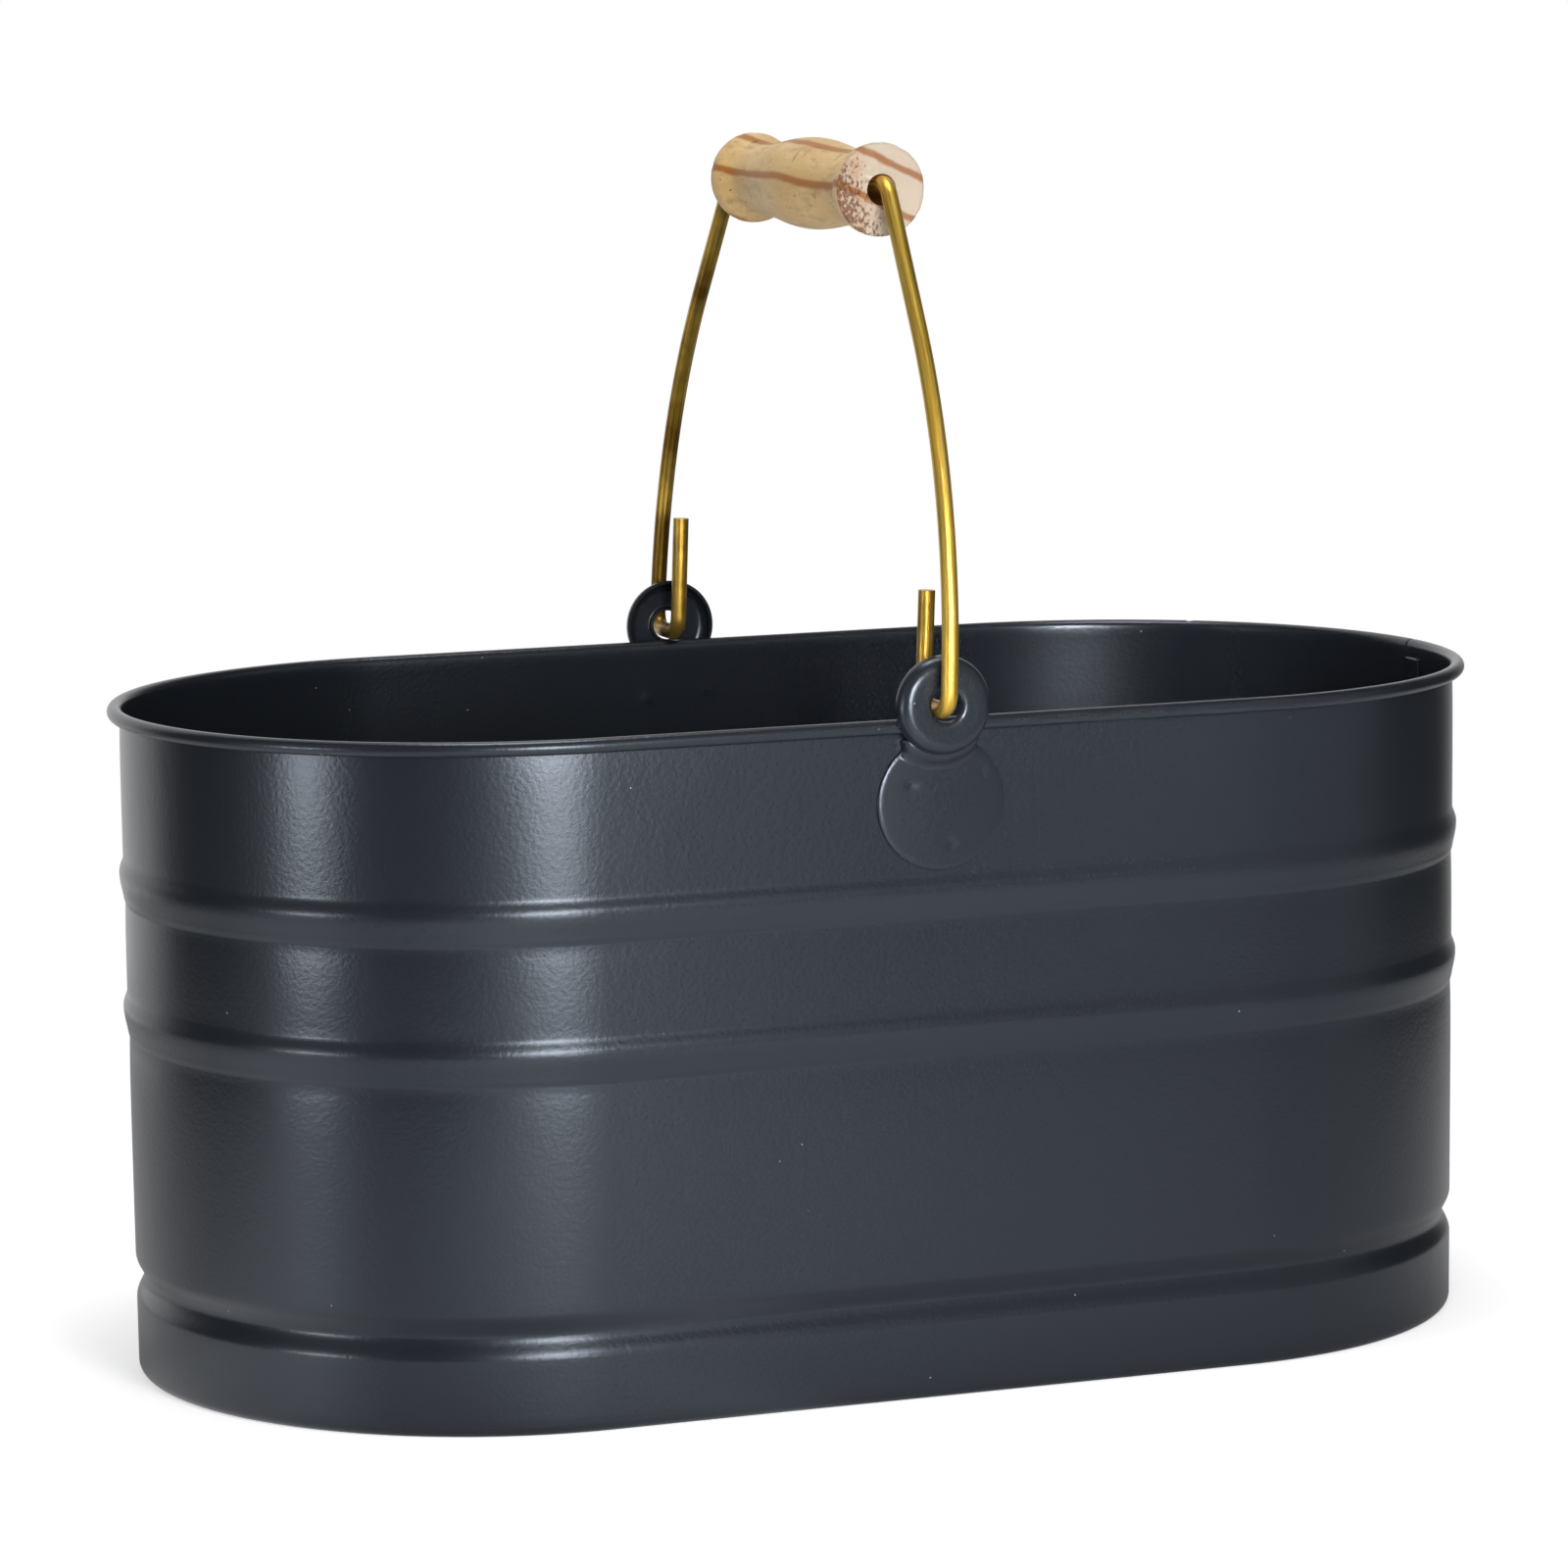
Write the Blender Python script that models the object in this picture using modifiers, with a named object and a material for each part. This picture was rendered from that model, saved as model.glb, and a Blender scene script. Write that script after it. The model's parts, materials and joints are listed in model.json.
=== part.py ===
"""Oval steel utility bucket: a rolled-rim tub with two ears, a swinging wire bail and a turned wooden grip.

Metres, +Z up. The tub stands on z = 0 with its length along X and the origin at the centre of its base.
The front ear faces -Y. The bail and the grip are children of empties that lie on their turning axes.
"""
import math

import bmesh
import bpy
from mathutils import Matrix, Vector

# Tub
TUB_HEIGHT = 0.184
SIDE_HALF_LENGTH = 0.0917
END_RADIUS = 0.0995
WALL_DRAFT = 0.001
SHEET = 0.0006
CURL_DIAMETER = 0.004
CURL_EDGE_GAP = 0.00044
FOOT_RADIUS = 0.0025
HEM_WIDTH = 0.008

# Beads pressed outwards and the groove pressed inwards near the foot
BEAD_PROUD = 0.00115
BEAD_UPPER_SLOPE = 0.0045
BEAD_LOWER_SLOPE = 0.0085
BEAD_SPACING = 0.0368
GROOVE_HEIGHT = 0.0265
GROOVE_DEPTH = 0.0022
GROOVE_SLOPE = 0.0063

# Ears
EAR_DISC_RADIUS = 0.018
EAR_PLATE = 0.0011
EAR_EDGE_ROUND = 0.0005
EAR_RIM_GAP = 0.0008
EAR_BEAD_GAP = 0.0007
RING_RADIUS = 0.0132
RING_HOLE_RADIUS = 0.0042
RING_DEPTH = 0.0042
RING_SHEET = 0.0009
RING_CORNER_RADIUS = 0.0026
RING_LIP_RADIUS = 0.0013
NECK_WIDTH = 0.0198
NECK_RUN = 0.0045
NECK_LIP = 0.0004
FRONT_EAR_SHIFT = 0.0007
REAR_EAR_RAISE = 0.0004

# Bail wire
WIRE_DIAMETER = 0.0045
BAIL_HEIGHT = 0.1358
BAIL_CORNER_RADIUS = 0.008
BAIL_TOP_PLAY = 0.018
BAIL_LEAN = math.radians(2.45)
FRONT_STUB_HEIGHT = 0.0304
REAR_STUB_HEIGHT = 0.0336
HOOK_BEND_RADIUS = 0.005

# Wooden grip
GRIP_LENGTH = 0.098
GRIP_RADIUS = 0.0126
GRIP_WAIST_RADIUS = 0.0098
GRIP_WAIST_FROM_END = 0.0128
GRIP_END_LAND = 0.0020
GRIP_END_ROUND = 0.0012
GRIP_BORE_RADIUS = 0.0042
GRIP_SHIFT = -0.0053

# Clearances
SEAT_GAP = 0.0003
WIRE_OVER_RIM = 0.0004
LEG_CLEARANCE = 0.00235
STUB_CLEARANCE = 0.0024

# Mesh settings
MERGE = 0.00001
CREASE_ANGLE = math.radians(40.0)
END_STEPS = 20
SIDE_STEPS = 4
CURL_STEPS = 10
SLOPE_STEPS = 3
FOOT_STEPS = 3
RING_STEPS = 32
RING_CORNER_STEPS = 4
RING_LIP_STEPS = 2
BEND_STEPS = 5
LEG_STEPS = 9
GRIP_TURN_STEPS = 32
GRIP_CURVE_STEPS = 6
BEVEL_SEGMENTS = 2
WIRE_RESOLUTION = 3
RIM_WIRE_RESOLUTION = 2

# Shares: where the wire lies in the play of its hole, and the leg's top lean over its mean lean
WIRE_DOWN_SHARE = 0.45
WIRE_SIDE_SHARE = 0.45
LEG_TOP_LEAN_SHARE = 1.53

# Sizes worked out from the ones above
WIRE_RADIUS = WIRE_DIAMETER / 2
CURL_MID_RADIUS = (CURL_DIAMETER - SHEET) / 2
RIM_OUTER = END_RADIUS + CURL_DIAMETER - SHEET
CURL_UNDERSIDE = TUB_HEIGHT - CURL_DIAMETER
EAR_DISC_HEIGHT = CURL_UNDERSIDE - EAR_RIM_GAP - EAR_DISC_RADIUS
UPPER_BEAD_TOP = EAR_DISC_HEIGHT - EAR_DISC_RADIUS - EAR_BEAD_GAP
PIVOT_HEIGHT = TUB_HEIGHT + WIRE_OVER_RIM + WIRE_RADIUS
WIRE_PLAY = RING_HOLE_RADIUS - WIRE_RADIUS
PIVOT_SIDE = -WIRE_PLAY * WIRE_SIDE_SHARE
RING_HEIGHT = PIVOT_HEIGHT + WIRE_PLAY * WIRE_DOWN_SHARE
RING_BACK = RIM_OUTER + SEAT_GAP
LEG_FROM_CENTRE = RING_BACK + RING_DEPTH + LEG_CLEARANCE + WIRE_RADIUS
STUB_FROM_CENTRE = END_RADIUS - SHEET - STUB_CLEARANCE - WIRE_RADIUS
BAIL_TOP_HALF = (GRIP_LENGTH + BAIL_TOP_PLAY) / 2
GRIP_DROP = GRIP_BORE_RADIUS - WIRE_RADIUS - SEAT_GAP


def clear_scene():
    for old in list(bpy.data.objects):
        bpy.data.objects.remove(old, do_unlink=True)


def new_collection(name):
    made = bpy.data.collections.new(name)
    bpy.context.scene.collection.children.link(made)
    return made


def new_material(name, colour, roughness, metallic):
    made = bpy.data.materials.new(name)
    made.use_nodes = True
    shader = made.node_tree.nodes["Principled BSDF"]
    shader.inputs["Base Color"].default_value = (*colour, 1.0)
    shader.inputs["Roughness"].default_value = roughness
    shader.inputs["Metallic"].default_value = metallic
    made.diffuse_color = (*colour, 1.0)
    return made


def painted_steel():
    return new_material("charcoal powder coat", (0.045, 0.051, 0.060), 0.42, 0.0)


def inner_steel():
    return new_material("bright rim wire", (0.55, 0.55, 0.56), 0.35, 1.0)


def antique_brass():
    return new_material("antique brass wire", (0.42, 0.31, 0.10), 0.34, 1.0)


def varnished_pine():
    return new_material("varnished pine", (0.72, 0.52, 0.29), 0.5, 0.0)


def add_object(name, data, collection, material=None):
    made = bpy.data.objects.new(name, data)
    collection.objects.link(made)
    if material is not None:
        data.materials.append(material)
    return made


def evaluated_mesh(source):
    """A plain mesh of what the viewport shows for an object, with its open caps welded."""
    bpy.context.view_layer.update()
    graph = bpy.context.evaluated_depsgraph_get()
    mesh = bpy.data.meshes.new_from_object(source.evaluated_get(graph))
    work = bmesh.new()
    work.from_mesh(mesh)
    bmesh.ops.remove_doubles(work, verts=work.verts, dist=MERGE)
    work.to_mesh(mesh)
    work.free()
    return mesh


def smooth_round(mesh):
    mesh.shade_smooth()
    mesh.set_sharp_from_angle(angle=CREASE_ANGLE)


# Tub wall

def wall_outer(height):
    """Radius of the end's outer face, before beads and groove are pressed into it."""
    return END_RADIUS - WALL_DRAFT * (1.0 - height / TUB_HEIGHT)


def wall_middle(height):
    return wall_outer(height) - SHEET / 2


def pressed_slope(start, end, depth_start, depth_end, steps):
    """Points of one flank of a bead or a groove, easing in and out, without its first point."""
    points = []
    for step in range(1, steps + 1):
        part = step / steps
        ease = (1.0 - math.cos(math.pi * part)) / 2
        height = start + (end - start) * part
        points.append((wall_middle(height) + depth_start + (depth_end - depth_start) * ease, height))
    return points


def bead_points(top):
    """An outward bead from its lower end to its top fold: the upper flank is the steeper one."""
    crest = top - BEAD_UPPER_SLOPE
    bottom = crest - BEAD_LOWER_SLOPE
    points = [(wall_middle(bottom), bottom)]
    points += pressed_slope(bottom, crest, 0.0, BEAD_PROUD, SLOPE_STEPS)
    points += pressed_slope(crest, top, BEAD_PROUD, 0.0, SLOPE_STEPS)
    return points


def groove_points():
    bottom = GROOVE_HEIGHT - GROOVE_SLOPE
    top = GROOVE_HEIGHT + GROOVE_SLOPE
    points = [(wall_middle(bottom), bottom)]
    points += pressed_slope(bottom, GROOVE_HEIGHT, 0.0, -GROOVE_DEPTH, SLOPE_STEPS)
    points += pressed_slope(GROOVE_HEIGHT, top, -GROOVE_DEPTH, 0.0, SLOPE_STEPS)
    return points


def arc_points(centre, radius, start, sweep, steps):
    return [
        (
            centre[0] + radius * math.cos(start + sweep * step / steps),
            centre[1] + radius * math.sin(start + sweep * step / steps),
        )
        for step in range(steps + 1)
    ]


def foot_points():
    """The hem that turns in under the wall, and the rounded corner up to the wall."""
    middle = wall_middle(0.0)
    corner = (middle - FOOT_RADIUS, SHEET / 2 + FOOT_RADIUS)
    hem_edge = (middle - HEM_WIDTH, SHEET / 2)
    return [hem_edge] + arc_points(corner, FOOT_RADIUS, -math.pi / 2, math.pi / 2, FOOT_STEPS)


def curl_centre():
    return wall_middle(TUB_HEIGHT) + CURL_MID_RADIUS, TUB_HEIGHT - CURL_DIAMETER / 2


def curl_points():
    """The rim, rolled outwards and down until its edge stands one small gap off the wall."""
    edge_inward = CURL_DIAMETER / 2 - SHEET - CURL_EDGE_GAP
    edge_turn = math.pi / 2 + math.asin(edge_inward / (CURL_DIAMETER / 2))
    return arc_points(curl_centre(), CURL_MID_RADIUS, math.pi, -math.pi - edge_turn, CURL_STEPS)


def wall_profile():
    upper_bead = bead_points(UPPER_BEAD_TOP)
    lower_bead = bead_points(UPPER_BEAD_TOP - BEAD_SPACING)
    return foot_points() + groove_points() + lower_bead + upper_bead + curl_points()


def sweep_round_plan(profile):
    """Carry a line of (distance out, height) points round the oval plan, as an open surface."""
    work = bmesh.new()
    start = [work.verts.new((SIDE_HALF_LENGTH, -out, height)) for out, height in profile]
    section = [work.edges.new(pair) for pair in zip(start, start[1:])]
    section += start
    for side in (1.0, -1.0):
        turned = bmesh.ops.spin(
            work, geom=section, cent=(side * SIDE_HALF_LENGTH, 0.0, 0.0), axis=(0.0, 0.0, 1.0),
            angle=math.pi, steps=END_STEPS, use_duplicate=False,
        )
        section = turned["geom_last"]
        step = Vector((-side * 2.0 * SIDE_HALF_LENGTH / SIDE_STEPS, 0.0, 0.0))
        for _ in range(SIDE_STEPS):
            edges = [item for item in section if isinstance(item, bmesh.types.BMEdge)]
            grown = bmesh.ops.extrude_edge_only(work, edges=edges)["geom"]
            verts = [item for item in grown if isinstance(item, bmesh.types.BMVert)]
            bmesh.ops.translate(work, verts=verts, vec=step)
            section = verts + [item for item in grown if isinstance(item, bmesh.types.BMEdge)]
    bmesh.ops.remove_doubles(work, verts=work.verts, dist=MERGE)
    return work


def finish_sheet(work, name, collection, material):
    """Turn a swept surface into an object of sheet metal, thickened evenly to both sides."""
    bmesh.ops.recalc_face_normals(work, faces=work.faces)
    mesh = bpy.data.meshes.new(name)
    work.to_mesh(mesh)
    work.free()
    smooth_round(mesh)
    made = add_object(name, mesh, collection, material)
    shell = made.modifiers.new("sheet thickness", "SOLIDIFY")
    shell.thickness = SHEET
    shell.offset = 0.0
    shell.use_even_offset = True
    return made


def make_tub_wall(collection, material):
    return finish_sheet(sweep_round_plan(wall_profile()), "tub_wall", collection, material)


def make_base_pan(collection, material):
    """The floor: a flat oval with a turned-up flange, held between the hem and the groove."""
    floor = SHEET + SEAT_GAP + SHEET / 2
    flange_top = GROOVE_HEIGHT - GROOVE_SLOPE - SEAT_GAP
    flange = wall_outer(0.0) - SHEET - SEAT_GAP - SHEET / 2
    corner = (flange - FOOT_RADIUS, floor + FOOT_RADIUS)
    profile = arc_points(corner, FOOT_RADIUS, -math.pi / 2, math.pi / 2, FOOT_STEPS)
    profile.append((flange, flange_top))
    work = sweep_round_plan(profile)
    floor_edge = [
        edge for edge in work.edges
        if edge.is_boundary and all(abs(vert.co.z - floor) < MERGE for vert in edge.verts)
    ]
    bmesh.ops.contextual_create(work, geom=floor_edge)
    return finish_sheet(work, "base_pan", collection, material)


# Wires

def wire_curve(name, points, radius, resolution, cyclic, collection, material):
    data = bpy.data.curves.new(name, "CURVE")
    data.dimensions = "3D"
    data.bevel_depth = radius
    data.bevel_resolution = resolution
    data.use_fill_caps = not cyclic
    line = data.splines.new("POLY")
    line.points.add(len(points) - 1)
    for slot, point in zip(line.points, points):
        slot.co = (*point, 1.0)
    line.use_cyclic_u = cyclic
    line.use_smooth = True
    return add_object(name, data, collection, material)


def make_rim_wire(collection, material):
    """The wire that the rim is rolled round."""
    radius = CURL_DIAMETER / 2 - SHEET - SEAT_GAP
    out, height = curl_centre()
    points = []
    for side in (1.0, -1.0):
        for x, y in arc_points((0.0, 0.0), out, -side * math.pi / 2, math.pi, END_STEPS):
            points.append((side * SIDE_HALF_LENGTH + x, y, height))
    return wire_curve("rim_wire", points, radius, RIM_WIRE_RESOLUTION, True, collection, material)


def leg_bow():
    """Lean of the leg's straight upper part, and radius of the bow that leads up into it from upright."""
    inward = LEG_FROM_CENTRE - BAIL_TOP_HALF
    up = BAIL_HEIGHT - HOOK_BEND_RADIUS
    lean = math.atan2(inward, up) * LEG_TOP_LEAN_SHARE
    radius = (up * math.tan(lean) - inward) / (1.0 / math.cos(lean) - 1.0)
    return lean, radius


def half_bail_points(stub_height):
    """(distance from the middle, height over the pivot) from a stub's tip up to the bail's top."""
    bend = HOOK_BEND_RADIUS
    lean, bow_radius = leg_bow()
    points = [(STUB_FROM_CENTRE, stub_height)]
    points += arc_points((STUB_FROM_CENTRE + bend, bend), bend, math.pi, math.pi / 2, BEND_STEPS)
    points += arc_points((LEG_FROM_CENTRE - bend, bend), bend, -math.pi / 2, math.pi / 2, BEND_STEPS)
    bow_centre = (LEG_FROM_CENTRE - bow_radius, bend)
    points += arc_points(bow_centre, bow_radius, 0.0, lean, LEG_STEPS)[1:]
    turn = math.pi / 2 - lean
    setback = BAIL_CORNER_RADIUS * math.tan(turn / 2)
    corner_centre = (BAIL_TOP_HALF - setback, BAIL_HEIGHT - BAIL_CORNER_RADIUS)
    points += arc_points(corner_centre, BAIL_CORNER_RADIUS, lean, turn, BEND_STEPS)
    return points


def make_bail_wire(collection, material, pivot):
    points = [(0.0, -out, height) for out, height in half_bail_points(FRONT_STUB_HEIGHT)]
    points += [(0.0, out, height) for out, height in reversed(half_bail_points(REAR_STUB_HEIGHT))]
    made = wire_curve("bail_wire", points, WIRE_RADIUS, WIRE_RESOLUTION, False, collection, material)
    made.parent = pivot
    return made


# Ears

def ear_plate_back():
    """Place of the disc's back behind the ring's back, so that it lies on the wall."""
    return wall_outer(CURL_UNDERSIDE) + SEAT_GAP - RING_BACK


def ring_face_line(inset):
    """One face of the ring's sheet: up the outer wall, over its corner, across and down into the hole."""
    corner = (RING_RADIUS - RING_CORNER_RADIUS, RING_DEPTH - RING_CORNER_RADIUS)
    lip = (RING_HOLE_RADIUS + RING_LIP_RADIUS, RING_DEPTH - RING_LIP_RADIUS)
    points = [(RING_RADIUS - inset, 0.0)]
    points += arc_points(corner, RING_CORNER_RADIUS - inset, 0.0, math.pi / 2, RING_CORNER_STEPS)
    points += arc_points(lip, RING_LIP_RADIUS - inset, math.pi / 2, math.pi / 2, RING_LIP_STEPS)
    return points


def ring_profile():
    """Section of the raised ring: a shallow cap of sheet, open at the back, with a hole in its face."""
    return ring_face_line(0.0) + ring_face_line(RING_SHEET)[::-1]


def turned_object(name, profile, steps, collection, material):
    """A closed or axis-to-axis profile of (radius, height) points, turned once about Z."""
    work = bmesh.new()
    verts = [work.verts.new((radius, 0.0, height)) for radius, height in profile]
    for pair in zip(verts, verts[1:] + verts[:1]):
        work.edges.new(pair)
    mesh = bpy.data.meshes.new(name)
    work.to_mesh(mesh)
    work.free()
    made = add_object(name, mesh, collection, material)
    turn = made.modifiers.new("turning", "SCREW")
    turn.axis = "Z"
    turn.steps = steps
    turn.render_steps = steps
    turn.use_merge_vertices = True
    turn.merge_threshold = MERGE
    turn.use_smooth_shade = True
    return made


def mark_as_tool(made):
    made.hide_render = True
    made.display_type = "WIRE"
    return made


def ear_disc_tool(cutters):
    """The flat disc that lies on the wall. In the ear's own frame +Z points away from the tub."""
    work = bmesh.new()
    bmesh.ops.create_cone(
        work, cap_ends=True, segments=RING_STEPS, radius1=EAR_DISC_RADIUS, radius2=EAR_DISC_RADIUS, depth=EAR_PLATE,
    )
    mesh = bpy.data.meshes.new("ear disc")
    work.to_mesh(mesh)
    work.free()
    made = mark_as_tool(add_object("ear_disc_tool", mesh, cutters))
    made.location = (0.0, EAR_DISC_HEIGHT - RING_HEIGHT, ear_plate_back() + EAR_PLATE / 2)
    rounding = made.modifiers.new("edge", "BEVEL")
    rounding.width = EAR_EDGE_ROUND
    rounding.segments = BEVEL_SEGMENTS
    rounding.limit_method = "ANGLE"
    return made


def ear_neck_tool(cutters):
    """The step of the sheet from the disc out to the ring, below the rim."""
    low = -RING_RADIUS - NECK_RUN
    high = CURL_UNDERSIDE - EAR_RIM_GAP - RING_HEIGHT
    inside_plate = ear_plate_back() + EAR_PLATE / 2
    plate_front = ear_plate_back() + EAR_PLATE
    outline = [
        (low, inside_plate),
        (low, plate_front),
        (-RING_RADIUS, NECK_LIP),
        (high, NECK_LIP),
        (high, inside_plate),
    ]
    data = bpy.data.curves.new("ear neck", "CURVE")
    data.dimensions = "2D"
    data.fill_mode = "BOTH"
    data.extrude = NECK_WIDTH / 2
    line = data.splines.new("POLY")
    line.points.add(len(outline) - 1)
    for slot, (up, out) in zip(line.points, outline):
        slot.co = (up, out, 0.0, 1.0)
    line.use_cyclic_u = True
    flat = add_object("ear_neck_outline", data, cutters)
    mesh = evaluated_mesh(flat)
    bpy.data.objects.remove(flat, do_unlink=True)
    made = mark_as_tool(add_object("ear_neck_tool", mesh, cutters))
    # The outline was drawn as (up, out): turn it so that up runs along Y and out along Z.
    made.rotation_euler = Matrix(((0, 0, 1), (1, 0, 0), (0, 1, 0))).to_euler()
    return made


def ear_mesh(cutters, material):
    """One stamped ear about its ring's centre: the ring, the disc and the neck joined into one body."""
    ring = turned_object("ear_ring_tool", ring_profile(), RING_STEPS, cutters, material)
    tools = [ear_disc_tool(cutters), ear_neck_tool(cutters)]
    for tool in tools:
        union = ring.modifiers.new("join", "BOOLEAN")
        union.operation = "UNION"
        union.solver = "EXACT"
        union.object = tool
    mesh = evaluated_mesh(ring)
    for tool in tools + [ring]:
        bpy.data.objects.remove(tool, do_unlink=True)
    smooth_round(mesh)
    return mesh


def make_ears(collection, cutters, material):
    mesh = ear_mesh(cutters, material)
    places = (
        ("ear_front", (FRONT_EAR_SHIFT, -RING_BACK, RING_HEIGHT), 0.0),
        ("ear_rear", (0.0, RING_BACK, RING_HEIGHT + REAR_EAR_RAISE), math.pi),
    )
    for name, place, turn in places:
        ear = bpy.data.objects.new(name, mesh)
        collection.objects.link(ear)
        ear.location = place
        ear.rotation_euler = (math.pi / 2, 0.0, turn)


# Grip

def grip_radius(from_end):
    """Outer radius of the grip: an end land, a cove down to the waist, and a swell to the middle."""
    if from_end < GRIP_END_LAND:
        return GRIP_RADIUS
    if from_end < GRIP_WAIST_FROM_END:
        part = (from_end - GRIP_END_LAND) / (GRIP_WAIST_FROM_END - GRIP_END_LAND)
    else:
        part = (GRIP_LENGTH / 2 - from_end) / (GRIP_LENGTH / 2 - GRIP_WAIST_FROM_END)
    return GRIP_WAIST_RADIUS + (GRIP_RADIUS - GRIP_WAIST_RADIUS) * (1.0 + math.cos(math.pi * part)) / 2


def half_grip_profile():
    """(radius, height) down the outside from the rounded top end to the middle."""
    half = GRIP_LENGTH / 2
    round_centre = (GRIP_RADIUS - GRIP_END_ROUND, half - GRIP_END_ROUND)
    points = arc_points(round_centre, GRIP_END_ROUND, math.pi / 2, -math.pi / 2, FOOT_STEPS)
    cove = GRIP_WAIST_FROM_END - GRIP_END_LAND
    swell = half - GRIP_WAIST_FROM_END
    places = [GRIP_END_LAND + cove * step / GRIP_CURVE_STEPS for step in range(GRIP_CURVE_STEPS + 1)]
    places += [GRIP_WAIST_FROM_END + swell * step / GRIP_CURVE_STEPS for step in range(1, GRIP_CURVE_STEPS + 1)]
    return points + [(grip_radius(place), half - place) for place in places]


def make_wooden_grip(collection, material, axis_empty):
    upper = half_grip_profile()
    lower = [(radius, -height) for radius, height in reversed(upper[:-1])]
    half = GRIP_LENGTH / 2
    bore = [(GRIP_BORE_RADIUS, -half), (GRIP_BORE_RADIUS, half)]
    made = turned_object("wooden_grip", upper + lower + bore, GRIP_TURN_STEPS, collection, material)
    made.rotation_euler = (math.pi / 2, 0.0, 0.0)
    made.parent = axis_empty
    return made


def add_empty(name, collection, parent=None):
    made = bpy.data.objects.new(name, None)
    collection.objects.link(made)
    made.parent = parent
    return made


def build():
    clear_scene()
    bucket = new_collection("utility_bucket")
    cutters = new_collection("utility_bucket_cutters")
    steel = painted_steel()
    brass = antique_brass()

    make_tub_wall(bucket, steel)
    make_base_pan(bucket, steel)
    make_rim_wire(bucket, inner_steel())
    make_ears(bucket, cutters, steel)

    pivot = add_empty("bail_pivot", bucket)
    pivot.location = (PIVOT_SIDE, 0.0, PIVOT_HEIGHT)
    pivot.rotation_euler = (0.0, BAIL_LEAN, 0.0)
    make_bail_wire(bucket, brass, pivot)

    grip_axis = add_empty("grip_axis", bucket, pivot)
    grip_axis.location = (0.0, GRIP_SHIFT, BAIL_HEIGHT - GRIP_DROP)
    make_wooden_grip(bucket, varnished_pine(), grip_axis)


build()
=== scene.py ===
"""Looks of an oval steel utility bucket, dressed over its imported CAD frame.

Metres, +Z up. The front ear faces -Y, and the sheet's lap seam is at the +X end.
"""
import json
import math

import bmesh
import bpy
from mathutils import Matrix, Vector, noise


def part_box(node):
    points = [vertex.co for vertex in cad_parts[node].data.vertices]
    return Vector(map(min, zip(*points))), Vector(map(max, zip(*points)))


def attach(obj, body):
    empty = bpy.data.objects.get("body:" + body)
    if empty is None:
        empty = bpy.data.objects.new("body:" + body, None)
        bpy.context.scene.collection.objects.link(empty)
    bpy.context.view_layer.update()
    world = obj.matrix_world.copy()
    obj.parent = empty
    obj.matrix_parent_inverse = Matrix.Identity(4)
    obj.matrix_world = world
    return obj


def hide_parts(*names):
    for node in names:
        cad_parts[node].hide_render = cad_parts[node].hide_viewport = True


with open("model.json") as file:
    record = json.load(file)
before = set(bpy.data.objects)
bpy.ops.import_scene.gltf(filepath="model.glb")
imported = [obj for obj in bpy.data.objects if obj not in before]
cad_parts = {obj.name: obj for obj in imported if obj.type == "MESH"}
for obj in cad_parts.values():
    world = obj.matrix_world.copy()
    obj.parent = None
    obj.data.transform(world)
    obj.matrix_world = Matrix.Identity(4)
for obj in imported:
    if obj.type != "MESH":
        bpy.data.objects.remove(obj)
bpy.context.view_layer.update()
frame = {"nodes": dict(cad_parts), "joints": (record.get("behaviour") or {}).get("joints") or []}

# Camera, fitted to the photograph
CAMERA_AZIMUTH = math.radians(-20.944)
CAMERA_ELEVATION = math.radians(7.790)
CAMERA_ROLL = math.radians(-0.737)
CAMERA_DISTANCE = 1.7967
AIM_RIGHT = -0.00617
AIM_UP = 0.1524
LENS_MM = 146.35
SENSOR_MM = 36.0

# Tub, from the frame
tub_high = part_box("tub_wall")[1]
TUB_HEIGHT = tub_high.z
RIM_OUTER = tub_high.y
SIDE_HALF_LENGTH = tub_high.x - tub_high.y

# Tub, as in the CAD source
WALL_DRAFT = 0.001
SHEET = 0.0006
CURL_DIAMETER = 0.004
CURL_EDGE_GAP = 0.00044
FOOT_RADIUS = 0.0025
HEM_WIDTH = 0.008
BEAD_PROUD = 0.00115
BEAD_UPPER_SLOPE = 0.0045
BEAD_LOWER_SLOPE = 0.0085
BEAD_SPACING = 0.0368
GROOVE_HEIGHT = 0.0265
GROOVE_DEPTH = 0.0022
GROOVE_SLOPE = 0.0063
SEAT_GAP = 0.0003

# Ears, as in the CAD source but with rounder rings
EAR_DISC_RADIUS = 0.018
EAR_PLATE = 0.0011
EAR_RIM_GAP = 0.0008
EAR_BEAD_GAP = 0.0007
RING_RADIUS = 0.0132
RING_HOLE_RADIUS = 0.0042
RING_DEPTH = 0.0042
RING_SHEET = 0.0009
RING_CORNER_RADIUS = 0.0036
RING_LIP_RADIUS = 0.0015
NECK_WIDTH = 0.0198
NECK_RUN = 0.0045
NECK_LIP = 0.0004

# Bail wire and grip, as in the CAD source
WIRE_DIAMETER = 0.0045
BAIL_HEIGHT = 0.1358
BAIL_CORNER_RADIUS = 0.008
BAIL_TOP_PLAY = 0.018
BAIL_LEAN = math.radians(2.45)
FRONT_STUB_HEIGHT = 0.0304
REAR_STUB_HEIGHT = 0.0336
HOOK_BEND_RADIUS = 0.005
STUB_CLEARANCE = 0.0024
LEG_TOP_LEAN_SHARE = 1.53
GRIP_WAIST_RADIUS = 0.0098
GRIP_WAIST_FROM_END = 0.0128
GRIP_END_LAND = 0.0020
GRIP_BORE_RADIUS = 0.0042

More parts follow.
